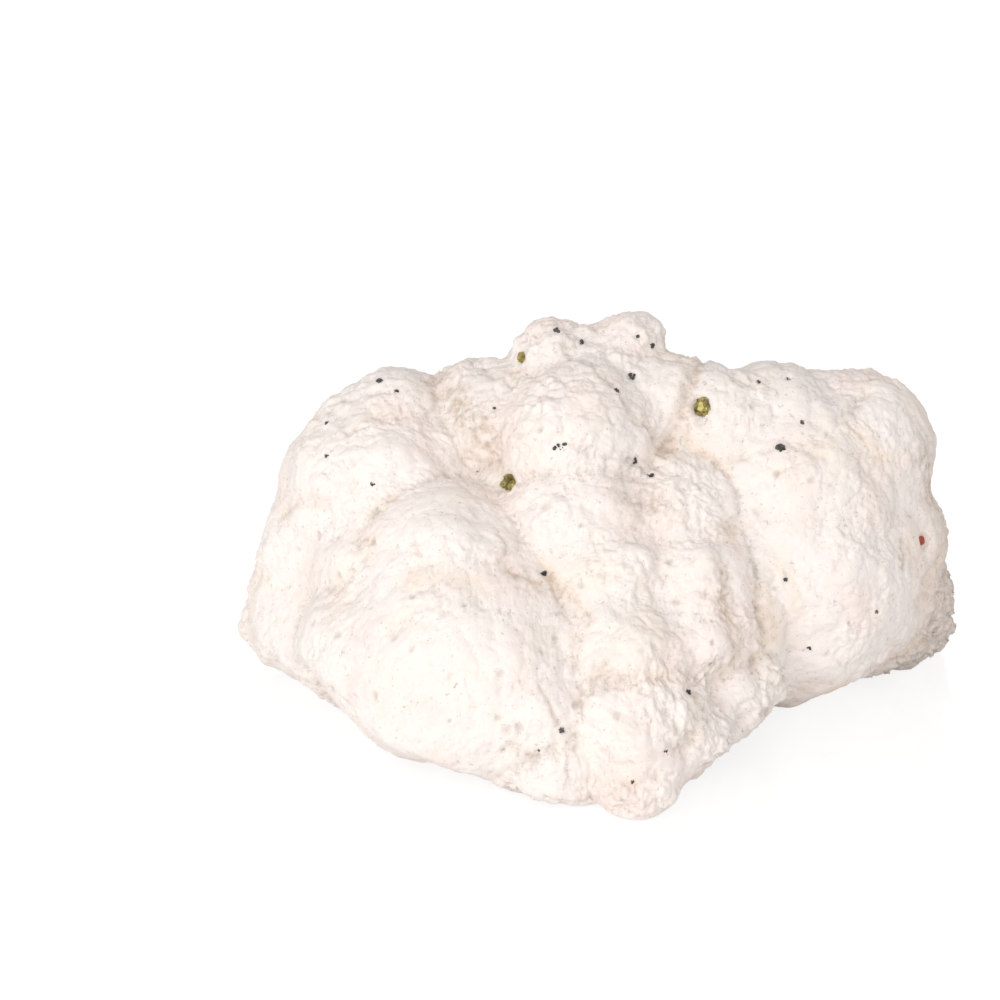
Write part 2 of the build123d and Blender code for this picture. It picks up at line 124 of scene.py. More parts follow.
SKINS = {
    "crown": skin_group("CrownSkin", web=2.2, swell=0.8, clump=0.75, crumb=0.3, grain=0.09, pits=0.5,
                        warmth=0.3),
    "left_lobe": skin_group("LeftSkin", web=2.0, swell=0.7, clump=0.55, crumb=0.22, grain=0.055, pits=0.5,
                            warmth=0.1),
    "front_dome": skin_group("DomeSkin", web=3.0, swell=0.55, clump=0.45, crumb=0.18, grain=0.05, pits=0.7,
                             warmth=0.1),
    "ridges": skin_group("RidgeSkin", web=2.4, swell=0.65, clump=0.6, crumb=0.28, grain=0.09, pits=0.8,
                         warmth=0.3),
    "toe": skin_group("ToeSkin", web=2.0, swell=0.9, clump=1.0, crumb=0.36, grain=0.1, pits=0.9,
                      warmth=0.2),
    "right_lobe": skin_group("RightSkin", web=3.0, swell=0.8, clump=0.45, crumb=0.18, grain=0.045,
                             pits=0.3, warmth=0.8, streak=0.2, druse=1.0),
    "back": skin_group("BackSkin", web=3.2, swell=0.7, clump=0.7, crumb=0.32, grain=0.07, pits=0.45,
                       warmth=0.3),
}
LAYERS = ("swell", "clump", "crumb", "grain", "pits", "warmth", "streak", "druse")
# Masks for the colours. Hollow, fold, pit and the grey mask also carry painted shade: the dust colour darkens
# creases, recesses and shaded sides, along with real dust.
MASKS = ("hollow", "fold", "pit", "rust", "peach", "grey", "warm")


class LumpShape(bpy.types.PropertyGroup):
    """Sizes that the whole crust shares."""

    spacing: length("Spacing", "Distance between crust points where the crust is seen best", 0.205 * MM)
    back_spacing: length("Back spacing", "Distance between crust points at the back", 0.36 * MM)
    lap: length("Lap", "How far a crust runs on under its neighbour", 1.1 * MM)
    lobe_web: length("Lobe web", "How far the joints between lobes are filled", 3.4 * MM)
    right_web: length("Right web", "How far the right lobe's joints are filled", 8.0 * MM)
    knob_web: length("Knob web", "How far the foot of a knob is filled", 1.3 * MM)
    swell_size: length("Swell size", "Width of the broad swells", 8.0 * MM)
    clump_size: length("Clump size", "Width of the rounded clumps", 3.0 * MM)
    crumb_size: length("Crumb size", "Width of the crumbs", 2.2 * MM)
    grain_size: length("Grain size", "Width of the sugary grain", 0.55 * MM)
    druse_size: length("Druse size", "Width of the broken crystal faces", 2.2 * MM)
    pit_size: length("Pit size", "Distance between the places for a pit", 2.6 * MM)
    pit_depth: length("Pit depth", "Depth of a pit", 0.35 * MM)
    streak_size: length("Streak size", "Width of the upright streaks", 1.6 * MM)
    crease_width: length("Crease width", "Width of the crease between two lobes", 1.1 * MM)
    crease_depth: length("Crease depth", "Depth of the crease between two lobes", 0.45 * MM)


class LumpColours(bpy.types.PropertyGroup):
    """Colours of the minerals."""

    chalk: colour("Chalk white", "Main colour of the magnesite", (0.86, 0.79, 0.745))
    rose: colour("Rose white", "Pinkish patches of the magnesite", (0.85, 0.745, 0.695))
    cream: colour("Cream", "Creamy patches of the magnesite", (0.86, 0.775, 0.70))
    peach: colour("Peach stain", "Iron stains in the hollows", (0.80, 0.62, 0.47))
    rust: colour("Rust stain", "Brown iron stains in the cracks", (0.42, 0.26, 0.15))
    # Grey dust and painted shade: this colour darkens creases, recesses and shaded sides.
    dust_and_shade: colour("Grey dust", "Dust in the creases", (0.42, 0.36, 0.30))
    speck: colour("Speck", "Dark mineral specks", (0.07, 0.055, 0.045))
    pyrite: colour("Pyrite", "Tarnished brass colour of the pyrite", (0.46, 0.39, 0.14))
    dark: colour("Dark mineral", "Colour of the dark grains", (0.03, 0.028, 0.027))
    red: colour("Red grain", "Colour of the red grain", (0.30, 0.03, 0.02))


class LumpStage(bpy.types.PropertyGroup):
    """Camera, light and floor."""

    camera_distance: length("Camera distance", "From the camera to the lump's middle", 0.4)
    camera_height: FloatProperty(name="Camera height", description="Angle of the camera above the floor",
                                 default=math.radians(25.0), subtype="ANGLE", unit="ROTATION")
    lens: FloatProperty(name="Lens", description="Focal length", default=0.1, subtype="DISTANCE_CAMERA",
                        unit="CAMERA")
    key: FloatProperty(name="Key lamp", description="Power of the key lamp", default=1.68, min=0.0,
                       subtype="POWER", unit="POWER")
    fill: FloatProperty(name="Fill lamp", description="Power of the fill lamp", default=1.1, min=0.0,
                        subtype="POWER", unit="POWER")
    sky: FloatProperty(name="Sky", description="Strength of the light from all round", default=0.63,
                       min=0.0)
    floor: colour("Floor", "Colour of the floor", (0.9, 0.9, 0.9))


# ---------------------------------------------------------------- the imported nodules

Nodule = namedtuple("Nodule", "centre radius cuts knobs hollows")

# The radii that a ball may have, how far off it a corner may lie, how many close corners a ball is
# fitted to, and from how many places at a time.
LARGEST_BALL, SMALLEST_BALL = 30 * MM, 0.8 * MM
ON_BALL = 0.004 * MM
BALL_CORNERS, BALL_TRIES = 14, 160
# The least area of a fracture plane's triangle, and how far a corner may stand out past the plane.
SMALLEST_FLAT = (0.8 * MM) ** 2
ON_PLANE = 0.03 * MM
DOWN = np.array([0.0, 0.0, -1.0])


def node_triangles(name):
    """A CAD node's triangles as (count, 3 corners, 3 coordinates)."""
    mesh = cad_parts[name].data
    mesh.calc_loop_triangles()
    points = np.zeros(len(mesh.vertices) * 3)
    mesh.vertices.foreach_get("co", points)
    corners = np.zeros(len(mesh.loop_triangles) * 3, np.int32)
    mesh.loop_triangles.foreach_get("vertices", corners)
    return points.reshape(-1, 3)[corners].reshape(-1, 3, 3)


def fit_balls(points):
    """Centre and radius of the ball through each set of points, by least squares.

    Points is (sets, points, 3). A ball is |p|^2 = 2 p.c + k, with k = r^2 - |c|^2.
    """
    middle = points.mean(-2, keepdims=True)
    near = points - middle
    rows = np.concatenate([2 * near, np.ones((*near.shape[:-1], 1))], axis=-1)
    square = np.swapaxes(rows, -1, -2) @ rows
    aim = np.swapaxes(rows, -1, -2) @ (near ** 2).sum(-1)[..., None]
    spread = np.trace(square, axis1=-2, axis2=-1)[..., None, None] * np.eye(4) * 1e-13
    found = np.linalg.solve(square + spread, aim)[..., 0]
    radius = np.sqrt(np.maximum(found[..., 3] + (found[..., :3] ** 2).sum(-1), 1e-12))
    return found[..., :3] + middle[..., 0, :], radius


def find_balls(triangles):
    """The balls that a solid's round faces lie on, largest first, and those of its round hollows.

    A ball is fitted to each of many small neighbourhoods of corners. The one that most corners lie on
    is kept, and its corners are left out of the next turn.
    """
    rest = np.unique(np.round(triangles.reshape(-1, 3), 8), axis=0)
    pick = np.random.default_rng(7)
    middles = triangles.mean(1)
    normals = np.cross(triangles[:, 1] - triangles[:, 0], triangles[:, 2] - triangles[:, 0])
    solid, hollow = [], []
    while len(rest) > BALL_CORNERS + 2:
        seeds = rest[pick.choice(len(rest), min(BALL_TRIES, len(rest)), replace=False)]
        order = np.argsort(((rest[None] - seeds[:, None]) ** 2).sum(-1), axis=1)[:, :BALL_CORNERS]
        centres, radii = fit_balls(rest[order])
        off = np.abs(np.linalg.norm(rest[None] - centres[:, None], axis=-1) - radii[:, None])
        off[(radii > LARGEST_BALL) | (radii < SMALLEST_BALL)] = 1.0
        on = off < ON_BALL
        best = on[on.sum(1).argmax()]
        if best.sum() < BALL_CORNERS:
            break
        centre, radius = (part[0] for part in fit_balls(rest[best][None]))
        rest = rest[~best]
        own = np.abs(np.linalg.norm(triangles - centre, axis=-1) - radius).max(1) < ON_BALL
        outward = ((middles[own] - centre) * normals[own]).sum() > 0
        (solid if outward else hollow).append((centre, radius))
    return sorted(solid, key=lambda found: -found[1]), hollow


def seam_plane(one, other):
    """The plane that two balls share: its normal towards the other, and its reach along that."""
    apart = other.centre - one.centre
    distance = np.linalg.norm(apart)
    normal = apart / distance
    along = (distance ** 2 + one.radius ** 2 - other.radius ** 2) / (2 * distance)
    return normal, normal @ one.centre + along


def fracture_cuts(name, triangles, balls):
    """Flat faces of a nodule that are neither its underside nor a seam: (normal, reach) of each."""
    edges = np.cross(triangles[:, 1] - triangles[:, 0], triangles[:, 2] - triangles[:, 0])
    area = np.linalg.norm(edges, axis=1)
    whole = area > 1e-12
    normal = edges[whole] / area[whole, None]
    reach = (normal * triangles[whole, 0]).sum(1)
    points = triangles.reshape(-1, 3)
    flats = [(DOWN, 0.0)]
    flats += [seam_plane(balls[name], other) for key, other in balls.items() if key != name]
    cuts = []
    for index in np.argsort(-area[whole])[:60]:
        if area[whole][index] < SMALLEST_FLAT:
            break
        if (points @ normal[index] - reach[index]).max() > ON_PLANE:
            continue
        known = flats + cuts
        if not any(n @ normal[index] > 0.9999 and abs(r - reach[index]) < 0.05 * MM for n, r in known):
            cuts.append((normal[index], reach[index]))
    return cuts


def read_nodules():
    """Every nodule's ball, fracture planes, knobs and hollows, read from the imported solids."""
    triangles = {name: node_triangles(name) for name in LOBE_OF}
    balls = {}
    for name, faces in triangles.items():
        solid, hollow = find_balls(faces)
        balls[name] = Nodule(*solid[0], (), solid[1:], hollow)
    return {name: nodule._replace(cuts=fracture_cuts(name, triangles[name], balls))
            for name, nodule in balls.items()}


def solids_of(name):
    """Centre, half size and half axes, as rows, of each separate solid in a CAD node."""
    triangles = node_triangles(name)
    corners, index = np.unique(np.round(triangles.reshape(-1, 3), 6), axis=0, return_inverse=True)
    index = index.reshape(-1, 3)
    group = np.arange(len(corners))
    while True:
        low = group[index].min(1)
        before = group.copy()
        for side in range(3):
            np.minimum.at(group, index[:, side], low)
        group = group[group]
        if np.array_equal(group, before):
            break
    found = []
    for number in np.unique(group):
        own = corners[group == number]
        middle, half = (own.min(0) + own.max(0)) / 2, (own.max(0) - own.min(0)).max() / 2
        axes = np.linalg.eigh((own - middle).T @ (own - middle))[1].T
        found.append((middle, half, axes * np.abs((own - middle) @ axes.T).max(0)[:, None]))
    return found


NODULES = read_nodules()
CRYSTAL_NODES = sorted(set(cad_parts) - set(LOBE_OF))
CRYSTALS = {name: solids_of(name) for name in CRYSTAL_NODES}


# ---------------------------------------------------------------- creases, stains and painted shade, placed one by one

Mark = namedtuple("Mark", "path width depth rust peach grey")


def mark(width, depth, rust, peach, grey, *path):
    """A mark so wide and so deep, in millimetres, over a path of seats, with shares of rust and peach stain
    and of grey, which is dust and painted shade.

    A seat is a nodule, a bearing from the front towards the right and a height above level, in degrees.
    """
    return Mark(path, width * MM, depth * MM, rust, peach, grey)


# A mark's grey is dust in its cracks, and painted shade in creases, under overhangs (toe shadow, low shadow,
# brow foot) and along the edge band.
MARKS = {
    "saddle valley": mark(1.8, 0.4, 0.6, 0.5, 0.6, ("saddle", -74, 38), ("saddle", -29, 29),
                          ("brow_left", -15, 14), ("brow_left", -10, 0)),
    "shoulder ledge": mark(0.7, 0.35, 0.0, 0.0, 0.3, ("shoulder_top", -63, 43),
                           ("shoulder_top", -20, 62)),
    "cheek ledge": mark(0.7, 0.4, 0.1, 0.2, 0.25, ("cheek", -45, 59), ("cheek", -19, 76),
                        ("cheek", 28, 74)),
    "side ledge": mark(0.8, 0.45, 0.2, 0.3, 0.3, ("side_bulge", -58, 44), ("cheek", -55, 12),
                       ("cheek", -39, 15)),
    "left bracket": mark(0.35, 0.4, 0.45, 0.0, 0.2, ("dome_cap", -28, 46), ("dome_cap", -22, 37),
                         ("dome_cap", -3, 31)),
    "right bracket": mark(0.35, 0.4, 0.6, 0.0, 0.2, ("dome_cap", 47, 41), ("front_dome", 66, 75),
                          ("front_dome", 46, 72)),
    "cap band": mark(1.1, 0.15, 0.0, 0.85, 0.0, ("front_dome", -52, 59), ("front_dome", -23, 66),
                     ("front_dome", 11, 61)),
    "cheek foot": mark(1.3, 0.2, 0.0, 0.6, 0.0, ("cheek_low", -36, 13), ("dome_flank", -55, 49)),
    "cap corner": mark(1.2, 0.0, 0.0, 0.6, 0.0, ("dome_cap", -67, 31), ("dome_cap", -64, 26)),
    "dome rim": mark(0.9, 0.4, 0.55, 0.5, 0.2, ("front_dome", 40, 67), ("front_dome", 62, 53),
                     ("centre_ridge_mid", -30, 17), ("centre_ridge_mid", -12, 6)),
    "rim foot": mark(0.9, 0.4, 0.45, 0.3, 0.35, ("centre_ridge_low", -30, 22), ("toe_body", -58, 46),
                     ("toe_body", -61, 33)),
    "nodule crack": mark(0.5, 0.45, 0.35, 0.0, 0.5, ("dome_nodule", 0, 52), ("dome_nodule", 17, 29),
                         ("dome_nodule", 24, 9)),
    "low crack": mark(0.4, 0.35, 0.5, 0.2, 0.0, ("front_dome", 15, -3), ("dome_nodule", -18, -14),
                      ("dome_nodule", 2, -9)),
    "crown crease": mark(0.7, 0.4, 0.35, 0.1, 0.35, ("crown_knob_left", 11, 33), ("brow", 95, 77),
                         ("brow", 64, 56), ("brow", 60, 31), ("brow", 72, 10)),
    "neck crease": mark(0.9, 0.3, 0.75, 0.4, 0.0, ("crown_slab", 55, 53), ("right_brow_inner", -54, 25),
                        ("right_brow_inner", -54, -13)),
    "brow foot": mark(0.7, 0.35, 0.2, 0.0, 0.45, ("brow", -9, 20), ("brow", 8, 17), ("brow", 46, 1),
                      ("right_ridge_top", -71, 62)),
    "ridge smudge": mark(1.6, 0.25, 0.35, 0.1, 0.6, ("centre_ridge_top", 40, 44),
                         ("centre_ridge_top", 60, 27)),
    "ridge edge": mark(0.9, 0.4, 0.7, 0.4, 0.3, ("right_ridge_mid", 41, 33), ("right_ridge_mid", 29, 20),
                       ("right_ridge_low", 46, 29), ("right_ridge_low", 44, 3),
                       ("right_ridge_low", 35, -11), ("right_ridge_low", 13, -14)),
    "ridge band": mark(1.2, 0.1, 0.25, 0.9, 0.0, ("right_ridge_top", 51, 8), ("right_bulk", -41, 32)),
    "toe shadow": mark(1.1, 0.4, 0.3, 0.1, 0.5, ("toe_body", 66, 42), ("toe_body", 60, 20),
                       ("toe_body", 32, 4)),
    "low shadow": mark(0.9, 0.3, 0.3, 0.2, 0.5, ("low_nodule", 46, -1), ("low_nodule", 60, -12)),
    "toe stain": mark(0.9, 0.2, 0.2, 0.45, 0.0, ("toe", -54, 5), ("toe", -11, 26)),
    "bulk patch": mark(1.6, 0.15, 0.15, 0.8, 0.0, ("right_ridge_mid", 68, 0), ("right_bulk", -17, 2)),
    "shoulder crease": mark(0.6, 0.3, 0.3, 0.2, 0.2, ("right_shoulder", 8, 67),
                            ("right_shoulder", -13, 52), ("right_upper_face", 32, 60),
                            ("right_upper_face", 50, 48)),
    "face curve": mark(0.7, 0.35, 0.0, 0.1, 0.45, ("right_upper_face", -47, 33),
                       ("right_upper_face", -17, 48), ("right_upper_face", 10, 39)),
    "flank slit": mark(0.35, 0.5, 0.3, 0.0, 0.5, ("right_bulk", 65, 28), ("right_bulk", 56, 18)),
    "flank hollow": mark(1.0, 0.4, 0.5, 0.3, 0.4, ("right_flank", 47, -10), ("right_flank", 60, -6)),
    # Mostly painted shade along the shaded right edge, with some rust and peach stain.
    "edge stain and shade band": mark(2.2, 0.1, 0.3, 0.3, 0.9, ("right_shoulder", 54, 6), ("right_flank", 83, 35)),
    "corner crack": mark(0.6, 0.5, 0.2, 0.1, 0.5, ("right_bulk_low", 33, -31),
                         ("right_bulk_low", 36, -14), ("right_flank_low", 15, -33)),
}


# ---------------------------------------------------------------- noise

TABLE = 4096
SHUFFLE = np.random.default_rng(11).permutation(TABLE).astype(np.int32)
NUMBERS = np.random.default_rng(12).random((TABLE, 3), dtype=np.float32)
CORNERS = [(x, y, z) for x in (0, 1) for y in (0, 1) for z in (0, 1)]
# One seed for each layer of noise, so that no two of them line up.
SEEDS = {"bend": (3, 5, 7), "swell": 11, "lump": 13, "clump": 17, "grain": 19, "patch": 23, "pit": 29,
         "streak": 37, "crumb": 41, "druse": 47, "small": 53, "wander": (61, 63, 67), "fray": 71}


def scatter(cells, seed):
    """Three repeatable numbers from 0 to 1 for each whole cell, by shuffling its address."""
    cells = cells.astype(np.int32)
    place = SHUFFLE[(cells[..., 0] + 97 * seed) & (TABLE - 1)]
    place = SHUFFLE[(place + cells[..., 1]) & (TABLE - 1)]
    return NUMBERS[SHUFFLE[(place + cells[..., 2]) & (TABLE - 1)]]


def dot(one, other):
    """Dot products along the last axis."""
    return np.einsum("...i,...i->...", one, other)


def wave(points, size, seed):
    """Gradient noise, about -1 to 1: slopes at the corners of cells this size, eased between them."""
    place = (points / size).astype(np.float32)
    base = np.floor(place)
    part = place - base
    late = part ** 3 * (part * (part * 6 - 15) + 10)
    sides = [(1 - late[..., axis], late[..., axis]) for axis in range(3)]
    total = np.zeros(points.shape[:-1], np.float32)
    for corner in CORNERS:
        away = np.array(corner, np.float32)
        slope = scatter(base + away, seed) * 2 - 1
        weight = sides[0][corner[0]] * sides[1][corner[1]] * sides[2][corner[2]]
        total += weight * dot(slope, part - away)
    return total * 1.7


def rough_wave(points, size, seed, steps=3, fade=0.5):
    """Gradient noise with finer and weaker noise added to it."""
    return sum(wave(points, size / 2 ** step, seed + 31 * step) * fade ** step for step in range(steps))


def beads(points, size, seed):
    """Nearest scattered bead: distance to its middle, in cells, and its three own numbers."""
    place = (points / size).astype(np.float32)
    base = np.floor(place - 0.5)
    nearest = np.full(points.shape[:-1], 9.0, np.float32)
    own = np.zeros(points.shape, np.float32)
    for corner in CORNERS:
        cell = base + np.array(corner, np.float32)
        numbers = scatter(cell, seed)
        away = cell + 0.5 + 0.76 * (numbers - 0.5) - place
        away = dot(away, away)
        closer = away < nearest
        nearest = np.where(closer, away, nearest)
        own = np.where(closer[..., None], numbers, own)
    return np.sqrt(nearest), own


def ease(value, low, high):
    """0 below low, 1 above high, and a smooth step between."""
    part = np.clip((value - low) / (high - low), 0, 1)
    return part * part * (3 - 2 * part)


# ---------------------------------------------------------------- the lump's skin as a field

# A knob, nodule or mark further than this from every point of a tile can't change the skin there.
KNOB_REACH, NODULE_REACH, MARK_REACH = 3 * MM, 7 * MM, 4 * MM
# How far the edges of the fracture planes, of the hollows and of the underside are rounded.
FRACTURE_WEB, HOLLOW_WEB, BASE_WEB = 1.2 * MM, 0.5 * MM, 0.8 * MM


def join(one, other, web):
    """Smooth least of two fields: where they come within web of each other a fillet of web/4 is added."""
    (a, slope_a), (b, slope_b) = one, other
    near = np.maximum(web - np.abs(a - b), 0) / np.maximum(web, 1e-9)
    part = np.where(a < b, near / 2, 1 - near / 2)[..., None]
    return np.minimum(a, b) - near * near * web / 4, slope_a * (1 - part) + slope_b * part


def cut(one, other, web):
    """Smooth greatest of two fields."""
    value, slope = join((-one[0], -one[1]), (-other[0], -other[1]), web)
    return -value, -slope


def ball(points, middle, radius):
    """Distance to a ball and its slope."""
    away = points - middle
    reach = np.sqrt(dot(away, away))
    return reach - radius, away / np.maximum(reach, 1e-9)[..., None]


def nodule_field(points, box, name, knob_web):
    """Distance to a nodule and its slope: its ball and knobs joined, cut by its fractures and hollows."""
    nodule = NODULES[name]
    found = ball(points, nodule.centre, nodule.radius)
    for middle, radius in nodule.knobs:
        if box_gap(box, middle, radius) < KNOB_REACH:
            found = join(found, ball(points, middle, radius), knob_web)
    for normal, distance in nodule.cuts:
        plane = points @ normal - distance, np.broadcast_to(normal, points.shape)
        found = cut(found, plane, FRACTURE_WEB)
    for middle, radius in nodule.hollows:
        value, slope = ball(points, middle, radius)
        found = cut(found, (-value, -slope), HOLLOW_WEB)
    return found


def box_round(points):
    """The box round all the points: its low and its high corner."""
    flat = points.reshape(-1, 3)
    low = np.array([flat[:, axis].min() for axis in range(3)])
    return low, np.array([flat[:, axis].max() for axis in range(3)])


def box_gap(box, middle, radius):
    """Distance from a ball to a box."""
    outside = np.maximum(0, np.maximum(box[0] - middle, middle - box[1]))
    return math.sqrt(outside @ outside) - radius


def close_by(points, near):
    """Those of the near nodules that can touch the skin at any of the points."""
    box = box_round(points)
    return [name for name in near
            if box_gap(box, NODULES[name].centre, NODULES[name].radius) < NODULE_REACH]


def lump_field(points, near, webs, shape):
    """Smooth union of the near nodules: value, slope, each lobe's own value and each nodule's.

    Nodules of one lobe join with the lobe's web and lobes join with the lobe web.
    """
    lobes, singles, box = {}, [], box_round(points)
    for name in near:
        lobe = LOBE_OF[name]
        one = nodule_field(points, box, name, shape.knob_web)
        singles.append(one[0])
        lobes[lobe] = join(lobes[lobe], one, webs[lobe]) if lobe in lobes else one
    total = None
    for lobe in lobes:
        web = shape.right_web if lobe == "right_lobe" else shape.lobe_web
        total = lobes[lobe] if total is None else join(total, lobes[lobe], web)
    base = -points[..., 2], np.broadcast_to(DOWN, points.shape)
    total = cut(total, base, BASE_WEB)
    values = {lobe: one[0] for lobe, one in lobes.items()}
    return total[0], total[1], values, singles


def gap_between(values):
    """How much further the second nearest is than the nearest."""
    if len(values) < 2:
        return np.full(values[0].shape, 1.0)
    two = np.partition(np.stack(values), 1, axis=0)[:2]
    return two[1] - two[0]


# ---------------------------------------------------------------- crusts

# Directions tried from a nodule's middle, and sectors round its pole, to find where it shows.
PROBES, SECTORS = 6000, 90
# What is added to a crust's rim, and how wide it may get, as angles at the nodule's middle.
RIM_LAP, WIDEST_RIM = 0.07, 2.9
# A nodule whose middle is nearer the front or higher than this gets the finer spacing.
FRONT_DEPTH, FRONT_HEIGHT = 12 * MM, 30 * MM
# The least and most points along a side of a crust's grid.
GRID_SIDES = 24, 300
# A probe tells that a nodule shows where it settles this near the skin. The rim is smoothed so often.
SETTLED, RIM_ROUNDS = 0.1 * MM, 20
# How often, and how far in and out at a time, points move along their ray and along the slope.
RAY_STEPS, RAY_IN, RAY_OUT = 4, 1 * MM, 3 * MM
SLOPE_STEPS, SLOPE_REACH = 3, 1 * MM
# How far the crust goes down under a neighbour, how soon, and how deep it lies on its own ball there.
DEEPEST, DIVE_START, TUCK = 9 * MM, 0.35 * MM, 0.5 * MM
# The heights above the floor between which the relief comes in.
FOOT_LOW, FOOT_HIGH = 0.1 * MM, 1.8 * MM
# How far the crust sinks round the cleavage flake.
FLAKE_SINK = 0.7 * MM
# Width of a lobe's edge against the next, of a joint between nodules and of the rougher patches, the
# least rise worth working out, and the stretch that makes noise into upright streaks.
LOBE_EDGE, JOINT_WIDTH, PATCH_SIZE = 0.8 * MM, 0.9 * MM, 7 * MM
LEAST_RISE = 0.01 * MM
DRAWN_UP = np.array([1.0, 1.0, 0.16])


def spiral(count):
    """Directions spread evenly over a ball."""
    step = np.arange(count) + 0.5
    height = 1 - 2 * step / count
    turn = step * math.pi * (1 + math.sqrt(5))
    flat = np.sqrt(1 - height ** 2)
    return np.stack([flat * np.cos(turn), flat * np.sin(turn), height], axis=-1)


def way_out(name, directions):
    """Where rays from a nodule's middle leave its ball, its fracture planes or the floor plane."""
    nodule = NODULES[name]
    reach = np.full(directions.shape[:-1], nodule.radius)
    for normal, distance in ((DOWN, 0.0), *nodule.cuts):
        along = directions @ normal
        room = distance - nodule.centre @ normal
        hit = np.where(along > TINY, room / np.maximum(along, TINY), 1.0)
        reach = np.minimum(reach, np.maximum(hit, 0.3 * MM))
    return reach


def nearest_ball(points, name):
    """Distance to the nearest of a nodule's ball and knobs, and its slope."""
    nodule, box = NODULES[name], box_round(points)
    value, slope = ball(points, nodule.centre, nodule.radius)
    for middle, radius in nodule.knobs:
        if box_gap(box, middle, radius) > KNOB_REACH:
            continue
        other, other_slope = ball(points, middle, radius)
        closer = other < value
        value = np.where(closer, other, value)
        slope = np.where(closer[..., None], other_slope, slope)
    return value, slope


def own_margin(name, points, near):
    """How far points are from where another nodule comes as near as this one."""
    own, own_way = nearest_ball(points, name)
    margin = np.full(points.shape[:-1], 1.0)
    for other in close_by(points, near):
        if other != name:
            value, way = nearest_ball(points, other)
            spread = np.linalg.norm(way - own_way, axis=-1)
            margin = np.minimum(margin, (value - own) / np.maximum(spread, 0.3))
    return margin


def settle(name, directions, near, settings):
    """The lump's skin over a nodule, one point for each direction from the nodule's middle.

    Each point starts where its direction leaves the nodule's ball. It goes on along that by the
    distance to the skin, a few times, and is then moved along the field's slope, by Newton steps, until
    it lies on the skin. Returns the starts, the points, the field's value and slope there, and each
    lobe's and nodule's own value.
    """
    shape = settings["shape"]
    webs = {lobe: skin.web for lobe, skin in settings["skins"].items()}
    start = NODULES[name].centre + way_out(name, directions)[..., None] * directions
    near = close_by(start, near)
    points = start
    for _ in range(RAY_STEPS):
        value = lump_field(points, near, webs, shape)[0]
        points = points - np.clip(value, -RAY_OUT, RAY_IN)[..., None] * directions
    for _ in range(SLOPE_STEPS):
        value, slope, _, _ = lump_field(points, near, webs, shape)
        pace = value / np.maximum(dot(slope, slope), 0.3)
        points = points - np.clip(pace, -SLOPE_REACH, SLOPE_REACH)[..., None] * slope
    return (start, points, *lump_field(points, near, webs, shape))


def disc_grid(count):
    """A square grid drawn onto a disc: distance from its middle and turn round it."""
    side = np.linspace(-1, 1, count)
    a, b = np.meshgrid(side, side, indexing="ij")
    wide = np.abs(a) >= np.abs(b)
    ring = np.where(wide, np.abs(a), np.abs(b))
    safe_a, safe_b = np.where(wide, a, 1), np.where(wide, 1, b)
    turn = np.where(wide, math.pi / 4 * b / np.where(safe_a == 0, 1, safe_a) + np.where(a < 0, math.pi, 0),
                    math.pi / 2 - math.pi / 4 * a / np.where(safe_b == 0, 1, safe_b)
                    + np.where(b < 0, math.pi, 0))
    return ring, np.where(ring == 0, 0, turn)


def patch_directions(name, near, spacing, settings):
    """Directions from a nodule's middle over the part of it that shows, as a grid fitted to its outline.

    Even probe directions tell where the nodule shows; their mean is the pole, and the widest angle from
    the pole in each sector, and a lap, is the grid's rim.
    """
    nodule = NODULES[name]
    probes = spiral(PROBES)
    _, outside, value, *_ = settle(name, probes, near, settings)
    seen = own_margin(name, outside, near) > -settings["shape"].lap
    shown = probes[seen & (np.abs(value) < SETTLED)]
    if len(shown) < 2:
        return None
    pole = shown.mean(0)
    pole /= np.linalg.norm(pole)
    side = np.cross(pole, (0.0, 0.0, 1.0) if abs(pole[2]) < 0.8 else (0.0, 1.0, 0.0))
    side /= np.linalg.norm(side)
    other = np.cross(pole, side)
    angle = np.arccos(np.clip(shown @ pole, -1, 1))
    turn = np.arctan2(shown @ other, shown @ side)
    sector = np.floor((turn + math.pi) / (2 * math.pi) * SECTORS).astype(int) % SECTORS
    rim = np.zeros(SECTORS)
    np.maximum.at(rim, sector, angle)
    rim = np.maximum(rim, np.maximum(np.roll(rim, 1), np.roll(rim, -1)))
    for _ in range(RIM_ROUNDS):
        rim = np.maximum(rim, (np.roll(rim, 1) + rim + np.roll(rim, -1)) / 3)
    rim = np.minimum(rim + RIM_LAP, WIDEST_RIM)
    wide = 2 * rim.mean() * nodule.radius
    ring, turn = disc_grid(int(np.clip(wide / spacing, *GRID_SIDES)))
    middles = (np.arange(SECTORS) + 0.5) / SECTORS * 2 * math.pi - math.pi
    turned = (turn + math.pi) % (2 * math.pi) - math.pi
    reach = ring * np.interp(turned, middles, rim, period=2 * math.pi)
    return (np.cos(reach)[..., None] * pole + (np.sin(reach) * np.cos(turn))[..., None] * side
            + (np.sin(reach) * np.sin(turn))[..., None] * other)


def bare_places(points):
    """How bare of crust each place round a crystal is, and how far the crust is raised there.

    The crust rises to bury the dark grains in part, and sinks to free the cleavage flake.
    """
    bare, buried, box = np.zeros(points.shape[:-1]), np.zeros(points.shape[:-1]), box_round(points)
    for name, solids in CRYSTALS.items():
        grain = name.startswith("dark_grains")
        for middle, half, _ in solids:
            if box_gap(box, middle, half) > KNOB_REACH:
                continue
            away = np.linalg.norm(points - middle, axis=-1)
            close = 1 - ease(away, half, 1.7 * half + 0.3 * MM)
            bare = np.maximum(bare, close)
            if grain:
                buried = np.maximum(buried, 0.3 * half * close)
            elif name == "cleavage_flake":
                buried = np.minimum(buried, -FLAKE_SINK * close)
    return bare, buried


